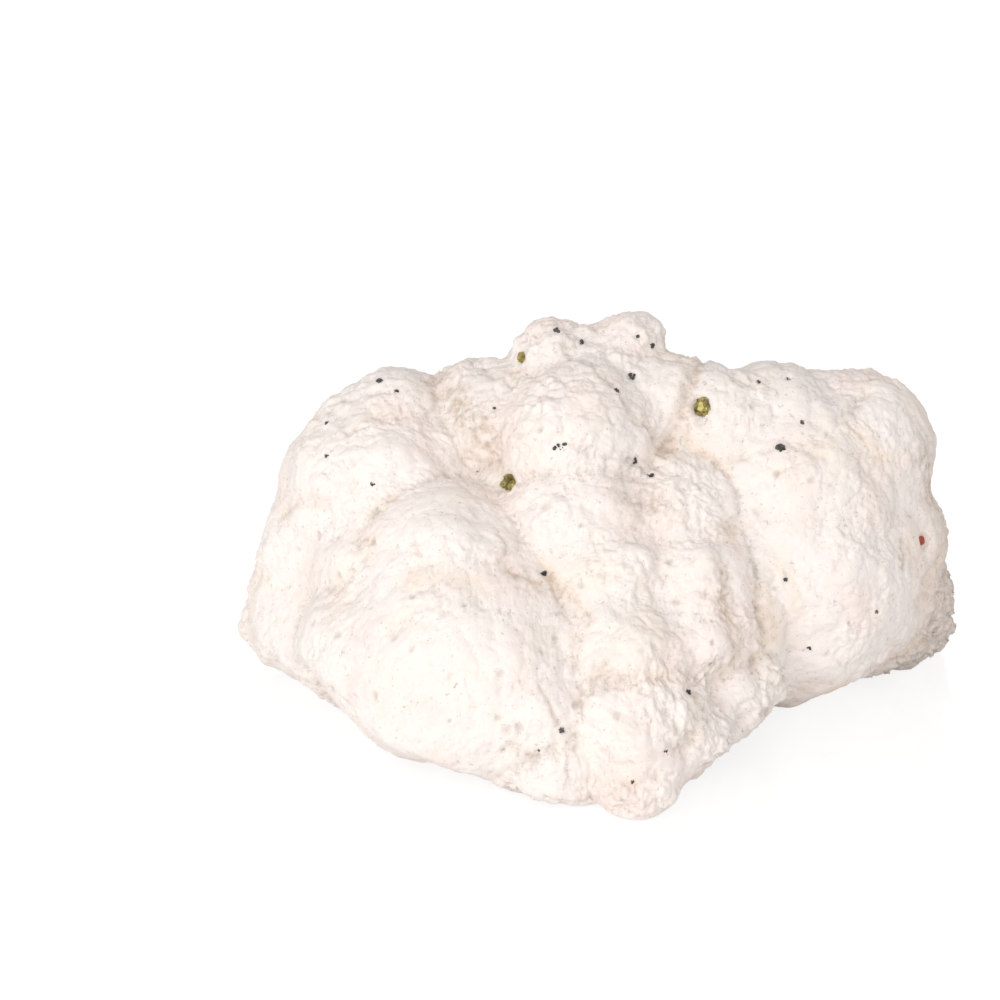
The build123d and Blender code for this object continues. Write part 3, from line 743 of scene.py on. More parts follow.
def skin_mix(values, skins, names):
    """Each layer's rise as a mean of the lobes' own, weighted towards the nearest lobe."""
    weights = {lobe: np.exp(-np.clip(value, 0, 20 * MM) / LOBE_EDGE) for lobe, value in values.items()}
    total = sum(weights.values())
    return {layer: sum(weights[lobe] * getattr(skins[lobe], layer) for lobe in values) / total
            for layer in names}


def facing(bearing, height):
    """The direction at a bearing, turned from the front to the right, and a height, in degrees."""
    turn, rise = math.radians(bearing), math.radians(height)
    return np.array([math.cos(rise) * math.sin(turn), -math.cos(rise) * math.cos(turn), math.sin(rise)])


def neighbours(name):
    """The nodules whose balls come close to a nodule's."""
    nodule = NODULES[name]
    reach = nodule.radius + NODULE_REACH
    return [key for key, other in NODULES.items()
            if np.linalg.norm(other.centre - nodule.centre) < reach + other.radius]


MARK_PATHS = {}


def lay_marks(settings):
    """Fills MARK_PATHS, once, with the points on the lump's skin that each mark's path runs through."""
    if MARK_PATHS:
        return
    for title, mark in MARKS.items():
        path = [settle(name, facing(bearing, height)[None], neighbours(name), settings)[1][0]
                for name, bearing, height in mark.path]
        MARK_PATHS[title] = np.array(path)


def line_distance(points, path):
    """Distance from points to the nearest of the straight runs of a path."""
    nearest = np.full(points.shape[:-1], 1.0)
    for start, end in zip(path, path[1:]):
        run = end - start
        part = np.clip(((points - start) @ run) / (run @ run), 0, 1)
        nearest = np.minimum(nearest, np.linalg.norm(points - start - part[..., None] * run, axis=-1))
    return nearest


def shaken(points, size, reach, seeds):
    """Gradient noise that moves points in three ways, as far as reach."""
    return reach * np.stack([wave(points, size, seed) for seed in seeds], axis=-1)


def mark_effects(points):
    """How deep the marks cut, their rust and peach stains, and their grey, which is dust and painted shade: a
    bell across each path.
    """
    low, high = box_round(points)
    wander = shaken(points, 2.6 * MM, 0.7 * MM, SEEDS["wander"])
    fray = 0.65 + 0.7 * wave(points, 1.1 * MM, SEEDS["fray"])
    depth = np.zeros(points.shape[:-1])
    stains = {key: np.zeros(points.shape[:-1]) for key in ("rust", "peach", "grey")}
    for title, mark in MARKS.items():
        path = MARK_PATHS[title]
        if (path.max(0) + MARK_REACH < low).any() or (path.min(0) - MARK_REACH > high).any():
            continue
        far = line_distance(points + wander, path)
        depth = np.maximum(depth, mark.depth * np.exp(-(far / mark.width) ** 2))
        for key, stain in stains.items():
            bell = getattr(mark, key) * np.exp(-(far / (1.5 * mark.width)) ** 2)
            stains[key] = np.maximum(stain, bell * np.clip(fray, 0.1, 1.2))
    return depth, stains


def crystal_faces(points, size, seed):
    """Broken crystal faces: each scattered bead's cell is a flat step, tilted its own way."""
    _, own = beads(points, size, seed)
    tilt = ((own - 0.5) * (points / size)).sum(-1)
    return own[..., 0] - 0.5 + 0.9 * (tilt - np.floor(tilt) - 0.5)


def domes(far, top, rise):
    """Domes round beads, sharp valleys between them: top less the squared distance, times the rise."""
    return (top - far ** 2) * rise


def right_end(points, low, high, lean=0.0):
    """0 to 1 between two shares of the way to the lump's right end, leaning out upwards."""
    return ease(points[..., 0] - lean * points[..., 2], low * CAD_HIGH[0], high * CAD_HIGH[0])


def relief(points, values, singles, skins, shape):
    """Rise of the crust over the field's surface, and the masks that its colours use.

    Swells and crumbs are gradient noise in several sizes, clumps are domes round scattered beads with
    sharp valleys between them, grain is fine noise, pits are hollows round some beads, streaks are noise
    drawn out upwards, druse is tilted steps, and creases run where two lobes meet and along the marks.
    """
    mix = skin_mix(values, skins, LAYERS)
    bent = points + shaken(points, 2.0 * MM, 0.4 * MM, SEEDS["bend"])

    # The layers, each about -1 to 1.
    lump_far, lump_own = beads(bent, 0.75 * shape.swell_size, SEEDS["lump"])
    swell = (0.55 * wave(points, shape.swell_size, SEEDS["swell"])
             + domes(lump_far, 0.34, 0.4 + 1.2 * lump_own[..., 0]))
    clump_far, clump_own = beads(bent, shape.clump_size, SEEDS["clump"])
    clump = domes(clump_far, 0.32, 0.5 + clump_own[..., 1])
    small_far, small_own = beads(bent, 0.45 * shape.clump_size, SEEDS["small"])
    small = domes(small_far, 0.32, 0.2 + 1.6 * small_own[..., 1])
    crumb = rough_wave(points, shape.crumb_size, SEEDS["crumb"], 3, 0.62)
    grain = rough_wave(points, shape.grain_size, SEEDS["grain"], 2)
    pit_far, pit_own = beads(bent, shape.pit_size, SEEDS["pit"])
    pit_radius = 0.1 + 0.16 * pit_own[..., 2]
    pit = (1 - ease(pit_far, 0.3 * pit_radius, 1.5 * pit_radius)) * (pit_own[..., 0] < mix["pits"])
    streak = rough_wave(points * DRAWN_UP, shape.streak_size, SEEDS["streak"], 2)

    # Where the lump is streaked, broken and stained at its right end, and where its seams are. The right
    # end's grey and brown are partly stain and partly painted shade of its shaded side.
    streak_place = right_end(points, 0.6, 0.85)
    druse_place = right_end(points, 0.62, 0.8, lean=0.8)
    edge = right_end(points, 0.84, 0.97) * (1 - druse_place)
    crease = np.exp(-(gap_between(list(values.values())) / shape.crease_width) ** 2)
    joint = np.exp(-(gap_between(singles) / JOINT_WIDTH) ** 2)
    cut_depth, stains = mark_effects(points)
    # Painted shade with stain: grey and brown on the broken corner and the right edge, which face away from
    # the key lamp.
    stains["grey"] = np.maximum(stains["grey"], 0.65 * druse_place + 0.5 * edge)
    stains["rust"] = np.maximum(stains["rust"], 0.25 * druse_place + 0.2 * edge)
    patch = wave(points, PATCH_SIZE, SEEDS["patch"])
    rough = 0.35 + 1.15 * ease(patch + 0.5 * crease - 0.5 * swell, -0.6, 0.8)

    rise = mix["swell"] * swell + mix["clump"] * (clump + 0.5 * small * rough)
    rise = rise + mix["crumb"] * crumb * rough + mix["grain"] * grain * rough
    rise = rise + mix["streak"] * streak * streak_place
    if (mix["druse"] * druse_place).max() > LEAST_RISE:
        rise = rise + mix["druse"] * druse_place * crystal_faces(points, shape.druse_size, SEEDS["druse"])
    rise = rise - shape.pit_depth * pit * (0.4 + 0.8 * pit_own[..., 1]) - shape.crease_depth * crease
    rise = rise - cut_depth

    # Hollow: creases between lobes and joints between nodules, where the material lays peach stain, and dust
    # with painted shade.
    hollow = np.clip(crease * (0.75 + 0.5 * swell) + 0.25 * joint, 0, 1)
    # Fold: the low places of the relief, where the material lays dust and painted shade.
    fold = (0.4 * ease(-crumb, 0.1, 0.8) + 0.3 * ease(small_far, 0.45, 0.85)
            + 0.3 * ease(clump_far, 0.5, 0.9))
    masks = {"hollow": hollow, "fold": fold, "pit": pit * pit_own[..., 1], **stains,
             "warm": mix["warmth"]}
    return rise, masks


def closed_mesh(name, grid, inside):
    """A mesh of the grid's sheet, closed by rings from its rim to a point inside.

    Returns it and how many points the closing added. Faces are turned round where the volume that they
    hold, a sum of triple products, comes out negative.
    """
    count = grid.shape[0]
    number = np.arange(count * count).reshape(count, count)
    rim = np.concatenate([number[0, :-1], number[:-1, -1], number[-1, :0:-1], number[:0:-1, 0]])
    sheet = grid.reshape(-1, 3)
    shares = (0.9, 0.6, 0.25)
    rings = [inside + (sheet[rim] - inside) * part for part in shares]
    points = np.concatenate([sheet, *rings, inside[None]])
    quads = np.stack([number[:-1, :-1], number[1:, :-1], number[1:, 1:], number[:-1, 1:]], -1)
    quads = quads.reshape(-1, 4)
    rows = [rim] + [len(sheet) + len(rim) * step + np.arange(len(rim)) for step in range(len(shares))]
    walls = [np.stack([a, np.roll(a, -1), np.roll(b, -1), b], -1) for a, b in zip(rows, rows[1:])]
    quads = np.concatenate([quads, *walls])
    last = rows[-1]
    fans = np.stack([last, np.roll(last, -1), np.full(len(last), len(points) - 1)], -1)
    fold = points[quads] - inside
    volume = (np.cross(fold[:, 0], fold[:, 1]) * fold[:, 2]).sum()
    volume += (np.cross(fold[:, 0], fold[:, 2]) * fold[:, 3]).sum()
    if volume < 0:
        quads, fans = quads[:, ::-1], fans[:, ::-1]
    mesh = bpy.data.meshes.new(name)
    mesh.vertices.add(len(points))
    mesh.vertices.foreach_set("co", points.astype(np.float32).ravel())
    loops = np.concatenate([quads.ravel(), fans.ravel()]).astype(np.int32)
    mesh.loops.add(len(loops))
    mesh.loops.foreach_set("vertex_index", loops)
    starts = np.concatenate([np.arange(len(quads)) * 4, len(quads) * 4 + np.arange(len(fans)) * 3])
    mesh.polygons.add(len(starts))
    mesh.polygons.foreach_set("loop_start", starts.astype(np.int32))
    mesh.polygons.foreach_set("use_smooth", np.ones(len(starts), bool))
    mesh.update(calc_edges=True)
    mesh.validate()
    return mesh, len(points) - len(sheet)


def in_tiles(work, grid, size=48):
    """Runs work on square tiles of a grid, so that far neighbours can be left out, and joins its arrays."""
    parts = max(1, round(grid.shape[0] / size))
    rows = []
    for strip in np.array_split(grid, parts, axis=0):
        made = [work(tile) for tile in np.array_split(strip, parts, axis=1)]
        rows.append([np.concatenate(arrays, axis=1) for arrays in zip(*made)])
    return [np.concatenate(arrays, axis=0) for arrays in zip(*rows)]


def skin_tile(name, directions, near, settings):
    """A tile of a nodule's crust: its points and the masks that the colours use.

    Past the seam with a neighbour the sheet goes down under that one, and then back to the nodule's
    own ball. The rise of the relief is added along the field's slope.
    """
    shape = settings["shape"]
    start, points, _, slope, values, singles = settle(name, directions, near, settings)
    under = np.clip(-own_margin(name, points, near), 0, DEEPEST)
    rise, masks = relief(points, values, singles, settings["skins"], shape)
    slope = slope / np.maximum(np.linalg.norm(slope, axis=-1), TINY)[..., None]
    stand = ease(points[..., 2], FOOT_LOW, FOOT_HIGH)
    bare, buried = bare_places(points)
    fillet = np.min(np.stack(singles), axis=0)
    rise = rise * stand * (1 - 0.85 * bare) - bare * fillet * stand + buried
    dive = 0.9 * under ** 2 / (under + DIVE_START)
    sheet = points + slope * (rise - dive)[..., None]
    back = ease(under, 0.7 * shape.lap, 1.8 * shape.lap)[..., None]
    sheet = sheet * (1 - back) + (start - TUCK * directions) * back
    sheet[..., 2] = np.maximum(sheet[..., 2], 0)
    return sheet, *masks.values()


def crust(name, settings):
    """One nodule's crust as a closed mesh, or None where the nodule doesn't show."""
    shape = settings["shape"]
    nodule = NODULES[name]
    near = neighbours(name)
    front = nodule.centre[1] < FRONT_DEPTH or nodule.centre[2] > FRONT_HEIGHT
    spacing = (shape.spacing if front else shape.back_spacing) * 1
    directions = patch_directions(name, near, spacing, settings)
    if directions is None:
        return None
    sheet, *masks = in_tiles(lambda tile: skin_tile(name, tile, near, settings), directions)
    mesh, extra = closed_mesh(name + "_crust", sheet, nodule.centre)
    for key, mask in zip(MASKS, masks):
        layer = mesh.attributes.new(key, "FLOAT", "POINT")
        layer.data.foreach_set("value", np.r_[mask.ravel(), np.zeros(extra)].astype(np.float32))
    return mesh


# ---------------------------------------------------------------- materials

def group_socket(tree, name, kind, out=False, default=None):
    """A named socket on a node group."""
    made = tree.interface.new_socket(name=name, in_out="OUTPUT" if out else "INPUT", socket_type=kind)
    if default is not None:
        made.default_value = default
    return made


class Wiring:
    """Places and links nodes in one node tree."""

    def __init__(self, tree):
        self.tree = tree

    def put(self, socket, value):
        """Links a socket or sets its value."""
        if isinstance(value, bpy.types.NodeSocket):
            self.tree.links.new(value, socket)
        elif isinstance(value, (tuple, list)) and len(value) == 3 and socket.type == "RGBA":
            socket.default_value = (*value, 1.0)
        else:
            socket.default_value = value

    def math(self, operation, *values, clamp=False):
        """A Math node's result."""
        node = self.tree.nodes.new("ShaderNodeMath")
        node.operation, node.use_clamp = operation, clamp
        for socket, value in zip(node.inputs, values):
            self.put(socket, value)
        return node.outputs[0]

    def times(self, one, other, clamp=False):
        """A product."""
        return self.math("MULTIPLY", one, other, clamp=clamp)

    def plus(self, one, other, clamp=False):
        """A sum."""
        return self.math("ADD", one, other, clamp=clamp)

    def attribute(self, name):
        """A mask that the mesh carries."""
        node = self.tree.nodes.new("ShaderNodeAttribute")
        node.attribute_name = name
        return node.outputs["Fac"]

    def place(self):
        """Object coordinates."""
        return self.tree.nodes.new("ShaderNodeTexCoord").outputs["Object"]

    def bump(self, shader, height, strength, distance):
        """A bump of a height on a shader."""
        node = self.tree.nodes.new("ShaderNodeBump")
        self.put(node.inputs["Height"], height)
        self.put(node.inputs["Strength"], strength)
        self.put(node.inputs["Distance"], distance)
        self.put(shader.inputs["Normal"], node.outputs["Normal"])

    def noise(self, place, scale, detail=2.0, roughness=0.5, distortion=0.0):
        """A Noise Texture's factor."""
        node = self.tree.nodes.new("ShaderNodeTexNoise")
        for key, value in (("Vector", place), ("Scale", scale), ("Detail", detail),
                           ("Roughness", roughness), ("Distortion", distortion)):
            self.put(node.inputs[key], value)
        return node.outputs["Fac"]

    def step(self, value, low, high):
        """A smooth step of a value from low to high."""
        node = self.tree.nodes.new("ShaderNodeMapRange")
        node.interpolation_type = "SMOOTHSTEP"
        self.put(node.inputs["Value"], value)
        self.put(node.inputs["From Min"], low)
        self.put(node.inputs["From Max"], high)
        return node.outputs["Result"]

    def blend(self, part, one, other, kind="MIX"):
        """Two colours mixed."""
        node = self.tree.nodes.new("ShaderNodeMix")
        node.data_type, node.blend_type = "RGBA", kind
        factor, first, second, result = 0, 6, 7, 2
        self.put(node.inputs[factor], part)
        self.put(node.inputs[first], one)
        self.put(node.inputs[second], other)
        return node.outputs[result]


def new_material(name):
    """An empty node material with a Principled shader."""
    made = bpy.data.materials.new(name)
    made.use_nodes = True
    return made, Wiring(made.node_tree), made.node_tree.nodes["Principled BSDF"]


def sugar_group():
    """Node group: fine crystal grain, as a colour factor around 1 and a height."""
    tree = bpy.data.node_groups.new("Sugar grain", "ShaderNodeTree")
    group_socket(tree, "Vector", "NodeSocketVector")
    group_socket(tree, "Size", "NodeSocketFloat", default=1.0)
    group_socket(tree, "Shade", "NodeSocketFloat", out=True)
    group_socket(tree, "Height", "NodeSocketFloat", out=True)
    wire = Wiring(tree)
    given, result = tree.nodes.new("NodeGroupInput"), tree.nodes.new("NodeGroupOutput")
    place, size = given.outputs["Vector"], given.outputs["Size"]
    fine = wire.noise(place, wire.times(size, 2600.0), 3.0, 0.65)
    coarse = wire.noise(place, wire.times(size, 900.0), 2.0, 0.5)
    both = wire.plus(wire.times(fine, 0.6), wire.times(coarse, 0.4))
    wire.put(result.inputs["Shade"], wire.plus(wire.times(both, 0.16), 0.92))
    wire.put(result.inputs["Height"], both)
    return tree


def magnesite_material(colours):
    """Chalky white magnesite: rose and cream patches, stains and painted shade in its hollows, specks, and
    sugary grain.
    """
    made, wire, shader = new_material("Magnesite")
    place = wire.place()
    hollow, fold, pit, rust, peach, grey, warm = (wire.attribute(name) for name in MASKS)
    sugar = wire.tree.nodes.new("ShaderNodeGroup")
    sugar.node_tree = sugar_group()
    wire.put(sugar.inputs["Vector"], place)

    # Rose and cream patches about a centimetre wide.
    rose = wire.step(wire.noise(place, 95.0, 3.0, 0.55), 0.48, 0.66)
    cream = wire.step(wire.noise(place, 140.0, 3.0, 0.6, 0.4), 0.5, 0.68)
    shade = wire.blend(rose, tuple(colours.chalk), tuple(colours.rose))
    shade = wire.blend(wire.times(cream, 0.7), shade, tuple(colours.cream))

    # Peach where iron tints the lobe, in the seams and along the marks.
    broad = wire.step(wire.noise(place, 70.0, 4.0, 0.6, 0.5), 0.52, 0.72)
    fleck = wire.step(wire.noise(place, 800.0, 4.0, 0.7), 0.38, 0.68)
    stain = wire.times(broad, wire.plus(wire.times(warm, 0.4), wire.times(hollow, 0.5)))
    shade = wire.blend(stain, shade, tuple(colours.peach))
    shade = wire.blend(wire.times(peach, 0.6), shade, tuple(colours.peach))

    # Grey dust and painted shade in seams, folds, pits and marks: the dust colour darkens recesses where
    # shade falls.
    cloud = wire.step(wire.noise(place, 420.0, 4.0, 0.65), 0.4, 0.75)
    dust_and_shade = wire.times(wire.plus(wire.times(hollow, 0.4), wire.times(fold, 0.1)), cloud)
    marked_dust_and_shade = wire.times(wire.plus(0.35, fleck), wire.times(grey, 0.6))
    dust_and_shade = wire.math("MAXIMUM", wire.plus(dust_and_shade, wire.times(pit, 0.5)), marked_dust_and_shade, clamp=True)
    shade = wire.blend(dust_and_shade, shade, tuple(colours.dust_and_shade))

    # Rust along the marks, and dark crumbs where the skin is recessed, partly dust and partly painted shade
    # of the recesses.
    rusted = wire.times(wire.plus(0.25, fleck), wire.times(rust, 0.6), clamp=True)
    shade = wire.blend(rusted, shade, tuple(colours.rust))
    recess = wire.plus(wire.times(fold, 0.7), wire.times(hollow, 0.6))
    recess = wire.plus(recess, wire.times(wire.plus(grey, rust), 0.6), clamp=True)
    crumbs = wire.step(wire.noise(place, 1500.0, 3.0, 0.75),
                       wire.math("SUBTRACT", 0.62, wire.times(recess, 0.2)), 0.72)
    shade = wire.blend(wire.times(crumbs, 0.6), shade, tuple(colours.dust_and_shade))

    # Fine mineral specks, in swarms.
    speck_noise = wire.noise(place, 1100.0, 2.0, 0.6, 0.6)
    speck_place = wire.noise(place, 130.0, 2.0, 0.5)
    bar = wire.math("SUBTRACT", 0.92, wire.times(speck_place, 0.2))
    speck = wire.step(speck_noise, bar, wire.plus(bar, 0.05))
    shade = wire.blend(wire.times(speck, 0.65), shade, tuple(colours.speck))

    shade = wire.blend(1.0, shade, sugar.outputs["Shade"], "MULTIPLY")
    wire.put(shader.inputs["Base Color"], shade)
    wire.put(shader.inputs["Roughness"],
             wire.math("SUBTRACT", 0.9, wire.times(sugar.outputs["Height"], 0.25)))
    wire.bump(shader, sugar.outputs["Height"], 0.7, 0.22 * MM)
    shader.inputs["Specular IOR Level"].default_value = 0.35
    return made


def crystal_material(name, tint, other, metallic, roughness, scale, bump_depth):
    """A mottled, lightly pitted mineral finish between two colours."""
    made, wire, shader = new_material(name)
    mottle = wire.noise(wire.place(), scale, 3.0, 0.6)
    shade = wire.blend(wire.step(mottle, 0.38, 0.66), tint, other)
    wire.put(shader.inputs["Base Color"], shade)
    wire.put(shader.inputs["Roughness"], wire.plus(roughness, wire.times(mottle, 0.25)))
    shader.inputs["Metallic"].default_value = metallic
    wire.bump(shader, mottle, 0.6, bump_depth)
    return made


def dress(name, material, bevel=0.0):
    """Gives a CAD node a material and, where asked, rounded edges."""
    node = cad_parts[name]
    node.data.materials.clear()
    node.data.materials.append(material)
    if bevel:
        rounding = node.modifiers.new("Worn edges", "BEVEL")
        rounding.width, rounding.segments, rounding.limit_method = bevel, 2, "ANGLE"
        weld = node.modifiers.new("Weld", "WELD")
        weld.merge_threshold = TINY
        node.modifiers.move(1, 0)


def shared_material(name, make, *given):
    """A material that is made once and used again."""
    return bpy.data.materials.get(name) or make(*given)


# ---------------------------------------------------------------- operators

def place_piece(context, title, mesh, name, material):
    """Links a finished mesh in place of a CAD node, on the lump's one body."""
    mesh.materials.append(material)
    piece = bpy.data.objects.new(title, mesh)
    context.collection.objects.link(piece)
    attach(piece, "root")
    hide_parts(name)


class LUMP_OT_crust(bpy.types.Operator):
    """Grow the crusts of one lobe's nodules"""

    bl_idname = "lump.crust"
    bl_label = "Grow a lobe's crust"
    lobe: EnumProperty(name="Lobe", description="The lobe whose nodules get their crust",
                       items=[(key, key.replace("_", " ").capitalize(), "") for key in LOBES])

    def execute(self, context):
        scene = context.scene
        settings = {"shape": scene.lump_shape,
                    "skins": {lobe: getattr(scene, "lump_" + lobe) for lobe in LOBES}}
        lay_marks(settings)
        material = shared_material("Magnesite", magnesite_material, scene.lump_colours)
        for name in LOBES[self.lobe]:
            mesh = crust(name, settings)
            if mesh is None:
                dress(name, material)
                continue
            place_piece(context, name + "_crust", mesh, name, material)
        return {"FINISHED"}


def cube_heap(name, count, least, most, seed):
    """A closed mesh of small cubes, each turned its own way, heaped within each solid of a CAD node.

    A cube's half side is from least to most of the solid's shortest half axis.
    """
    pick = np.random.default_rng(seed)
    corners, faces = [], []
    box = np.array([(x, y, z) for x in (-1, 1) for y in (-1, 1) for z in (-1, 1)], float)
    sides = np.array([(0, 1, 3, 2), (4, 6, 7, 5), (0, 4, 5, 1), (2, 3, 7, 6), (0, 2, 6, 4), (1, 5, 7, 3)])
    for middle, _, axes in CRYSTALS[name]:
        turns = np.linalg.qr(pick.normal(size=(count, 3, 3)))[0]
        turns[:, :, 0] *= np.linalg.det(turns)[:, None]
        ways = pick.normal(size=(count, 3))
        ways /= np.linalg.norm(ways, axis=1)[:, None]
        sizes = np.linalg.norm(axes, axis=1).min() * pick.uniform(least, most, count)
        places = middle + (ways * pick.uniform(0.3, 1.0, count)[:, None] ** 0.5) @ axes * 0.9
        made = places[:, None] + sizes[:, None, None] * (box @ np.swapaxes(turns, 1, 2))
        faces.append(sides + 8 * (np.arange(count) + len(corners) * count)[:, None, None])
        corners.append(made.reshape(-1, 3))
    mesh = bpy.data.meshes.new(name + "_cubes")
    mesh.from_pydata(np.concatenate(corners).tolist(), [], np.concatenate(faces).reshape(-1, 4).tolist())
    return mesh


def lay_heap(context, name, material, count, least, most, seed):
    """Puts a heap of cubes in place of a CAD node."""
    mesh = cube_heap(name, count, least, most, seed)
    place_piece(context, name + "_cubes", mesh, name, material)


class LUMP_OT_pyrite(bpy.types.Operator):
    """Heap small brassy cubes in the pyrite clusters"""

    bl_idname = "lump.pyrite"
    bl_label = "Heap the pyrite"

    def execute(self, context):
        colours = context.scene.lump_colours
        tint = tuple(colours.pyrite)
        made = crystal_material("Pyrite", tint, tuple(0.3 * part for part in tint), 0.6, 0.3, 900.0,
                                0.06 * MM)
        for seed, name in enumerate(("pyrite_left", "pyrite_right", "pyrite_crown")):
            lay_heap(context, name, made, 70, 0.16, 0.36, seed)
        return {"FINISHED"}


class LUMP_OT_dark_grains(bpy.types.Operator):
    """Heap the dark blade and grains from small shards"""

    bl_idname = "lump.dark_grains"
    bl_label = "Heap the dark grains"

    def execute(self, context):
        colours = context.scene.lump_colours
        tint = tuple(colours.dark)
        made = crystal_material("Dark mineral", tint, tuple(3.5 * part for part in tint), 0.0, 0.45, 1400.0,
                                0.1 * MM)
        for seed, name in enumerate(key for key in CRYSTAL_NODES if key.startswith("dark_")):
            lay_heap(context, name, made, 22, 0.15, 0.42, 10 + seed)
        return {"FINISHED"}


class LUMP_OT_accents(bpy.types.Operator):
    """Finish the red grain, the clear crystal and the cleavage flake"""

    bl_idname = "lump.accents"
    bl_label = "Finish the accent crystals"

    def execute(self, context):
        colours = context.scene.lump_colours
        red = crystal_material("Red mineral", tuple(colours.red), (0.45, 0.12, 0.08), 0.0, 0.35, 1200.0,
                               0.05 * MM)
        dress("red_grain", red, 0.08 * MM)
        clear = crystal_material("Clear mineral", (0.95, 0.95, 0.93), (0.85, 0.84, 0.8), 0.0, 0.05, 800.0,
                                 0.02 * MM)
        shader = clear.node_tree.nodes["Principled BSDF"]
        shader.inputs["Transmission Weight"].default_value = 0.3
        dress("clear_crystal", clear)
        face = crystal_material("Cleavage face", tuple(colours.rose), (0.8, 0.7, 0.64), 0.0, 0.3, 500.0,
                                0.05 * MM)
        dress("cleavage_flake", face, 0.1 * MM)
        return {"FINISHED"}


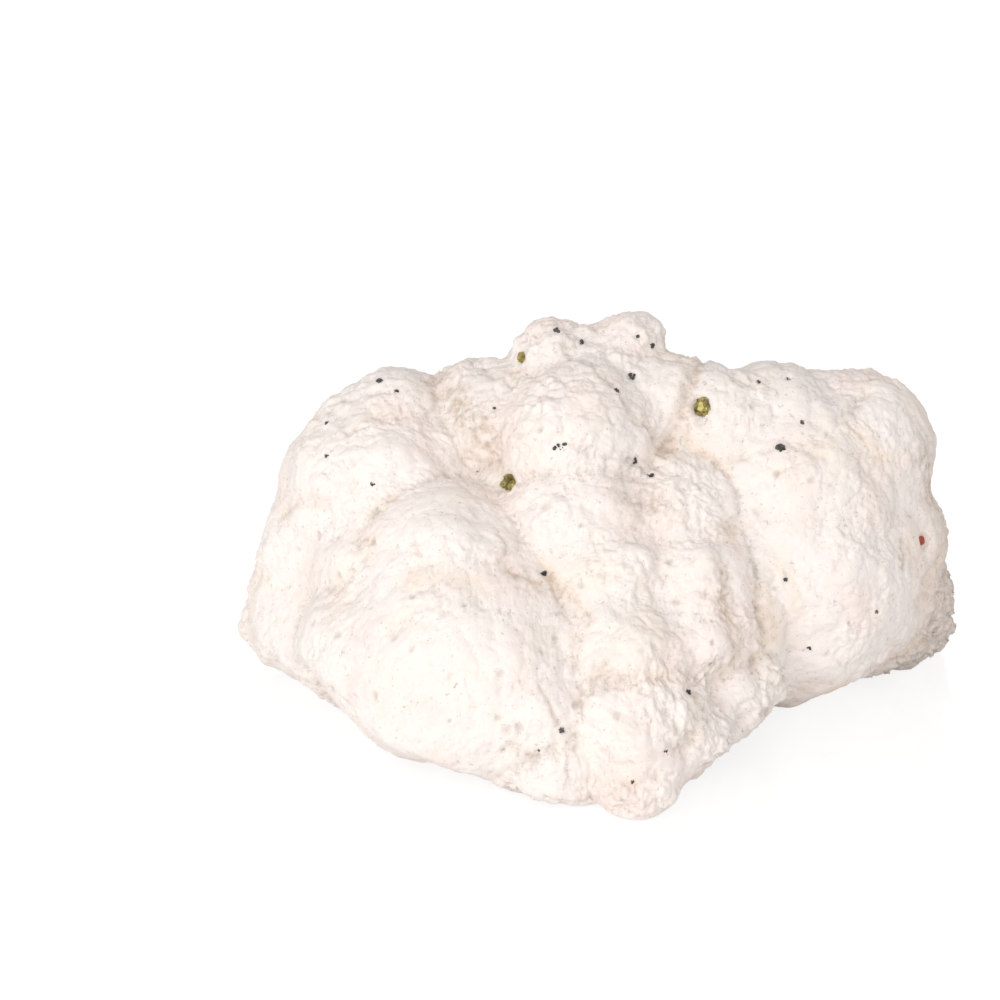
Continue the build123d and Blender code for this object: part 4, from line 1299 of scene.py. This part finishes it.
class LUMP_OT_stage(bpy.types.Operator):
    """Set up the floor, the lamps, the sky and the camera"""

    bl_idname = "lump.stage"
    bl_label = "Set up the stage"

    def execute(self, context):
        """The camera looks along y and down, at a point to the left of the lump's middle."""
        scene, stage = context.scene, context.scene.lump_stage
        scene.view_settings.view_transform = "Standard"
        middle = Vector((-14.85 * MM, -0.1 * MM, 32.0 * MM))
        back = Vector((0.0, -math.cos(stage.camera_height), math.sin(stage.camera_height)))
        camera = bpy.data.cameras.new("Camera")
        camera.lens, camera.sensor_width = stage.lens * 1000, 36.0
        camera.clip_start, camera.clip_end = 0.01, 20.0
        holder = bpy.data.objects.new("Camera", camera)
        holder.location = middle + back * stage.camera_distance
        holder.rotation_euler = (-back).to_track_quat("-Z", "Y").to_euler()
        context.collection.objects.link(holder)
        scene.camera = holder
        self.floor(context, stage)
        self.lamp(context, "Key lamp", (-0.42, -0.42, 0.30), 0.40, stage.key)
        self.lamp(context, "Fill lamp", (0.10, -0.55, 0.30), 0.50, stage.fill)
        self.sky(scene, stage)
        return {"FINISHED"}

    def lamp(self, context, name, place, size, power):
        """A square soft lamp at place, turned to the lump's middle."""
        light = bpy.data.lights.new(name, "AREA")
        light.shape, light.size, light.energy = "SQUARE", size, power
        holder = bpy.data.objects.new(name, light)
        holder.location = place
        aim = Vector((0.0, 0.0, 0.02)) - Vector(place)
        holder.rotation_euler = aim.to_track_quat("-Z", "Y").to_euler()
        context.collection.objects.link(holder)

    def floor(self, context, stage):
        """A wide pale floor that shows white and keeps a faint shadow and reflection of the lump."""
        reach = 3.0
        mesh = bpy.data.meshes.new("Floor")
        mesh.from_pydata([(-reach, -reach, 0), (reach, -reach, 0), (reach, reach, 0), (-reach, reach, 0)],
                         [], [(0, 1, 2, 3)])
        floor = bpy.data.objects.new("Floor", mesh)
        floor.location.z = -0.02 * MM
        context.collection.objects.link(floor)
        made, wire, shader = new_material("Floor")
        wire.put(shader.inputs["Base Color"], tuple(stage.floor))
        shader.inputs["Roughness"].default_value = 0.6
        nodes, links = wire.tree.nodes, wire.tree.links
        shown = nodes.new("ShaderNodeBsdfDiffuse")
        wire.put(shown.inputs["Color"], (0.14, 0.135, 0.13))
        glow = nodes.new("ShaderNodeEmission")
        glow.inputs["Strength"].default_value = 0.83
        gloss = nodes.new("ShaderNodeBsdfGlossy")
        wire.put(gloss.inputs["Color"], (0.1, 0.1, 0.1))
        gloss.inputs["Roughness"].default_value = 0.12
        both, all_three = nodes.new("ShaderNodeAddShader"), nodes.new("ShaderNodeAddShader")
        mix, path = nodes.new("ShaderNodeMixShader"), nodes.new("ShaderNodeLightPath")
        links.new(shown.outputs[0], both.inputs[0])
        links.new(glow.outputs[0], both.inputs[1])
        links.new(both.outputs[0], all_three.inputs[0])
        links.new(gloss.outputs[0], all_three.inputs[1])
        links.new(path.outputs["Is Camera Ray"], mix.inputs[0])
        links.new(shader.outputs[0], mix.inputs[1])
        links.new(all_three.outputs[0], mix.inputs[2])
        links.new(mix.outputs[0], nodes["Material Output"].inputs["Surface"])
        mesh.materials.append(made)

    def sky(self, scene, stage):
        """An even sky that is white to the camera and in reflections."""
        world = bpy.data.worlds.new("Sky")
        world.use_nodes = True
        scene.world = world
        wire = Wiring(world.node_tree)
        ground = world.node_tree.nodes["Background"]
        path = wire.tree.nodes.new("ShaderNodeLightPath")
        seen = wire.math("MAXIMUM", wire.math("MAXIMUM", path.outputs["Is Camera Ray"],
                                              path.outputs["Is Glossy Ray"]),
                         path.outputs["Is Transmission Ray"])
        wire.put(ground.inputs["Color"], (1.0, 1.0, 1.0))
        wire.put(ground.inputs["Strength"], wire.plus(stage.sky, wire.times(seen, 1.0 - stage.sky)))


class LUMP_PT_panel(bpy.types.Panel):
    """The steps that make the lump"""

    bl_idname = "LUMP_PT_panel"
    bl_label = "Raw magnesite lump"
    bl_space_type = "VIEW_3D"
    bl_region_type = "UI"
    bl_category = "Lump"

    def draw(self, context):
        layout = self.layout
        for lobe in LOBES:
            layout.operator("lump.crust", text=lobe.replace("_", " ").capitalize()).lobe = lobe
        for step in ("lump.pyrite", "lump.dark_grains", "lump.accents", "lump.stage"):
            layout.operator(step)


GROUPS = {"lump_shape": LumpShape, "lump_colours": LumpColours, "lump_stage": LumpStage,
          **{"lump_" + lobe: skin for lobe, skin in SKINS.items()}}
CLASSES = (*GROUPS.values(), LUMP_OT_crust, LUMP_OT_pyrite, LUMP_OT_dark_grains, LUMP_OT_accents,
           LUMP_OT_stage, LUMP_PT_panel)


def register():
    """Registers the classes and hangs the sizes and colours on the scene."""
    for part in CLASSES:
        bpy.utils.register_class(part)
    for name, group in GROUPS.items():
        setattr(bpy.types.Scene, name, PointerProperty(type=group))


def unregister():
    """Undoes register."""
    for name in GROUPS:
        delattr(bpy.types.Scene, name)
    for part in reversed(CLASSES):
        bpy.utils.unregister_class(part)


def main():
    """Makes everything in order."""
    register()
    bpy.ops.lump.stage()
    for lobe in LOBES:
        bpy.ops.lump.crust(lobe=lobe)
    bpy.ops.lump.pyrite()
    bpy.ops.lump.dark_grains()
    bpy.ops.lump.accents()


if __name__ == "__main__":
    main()
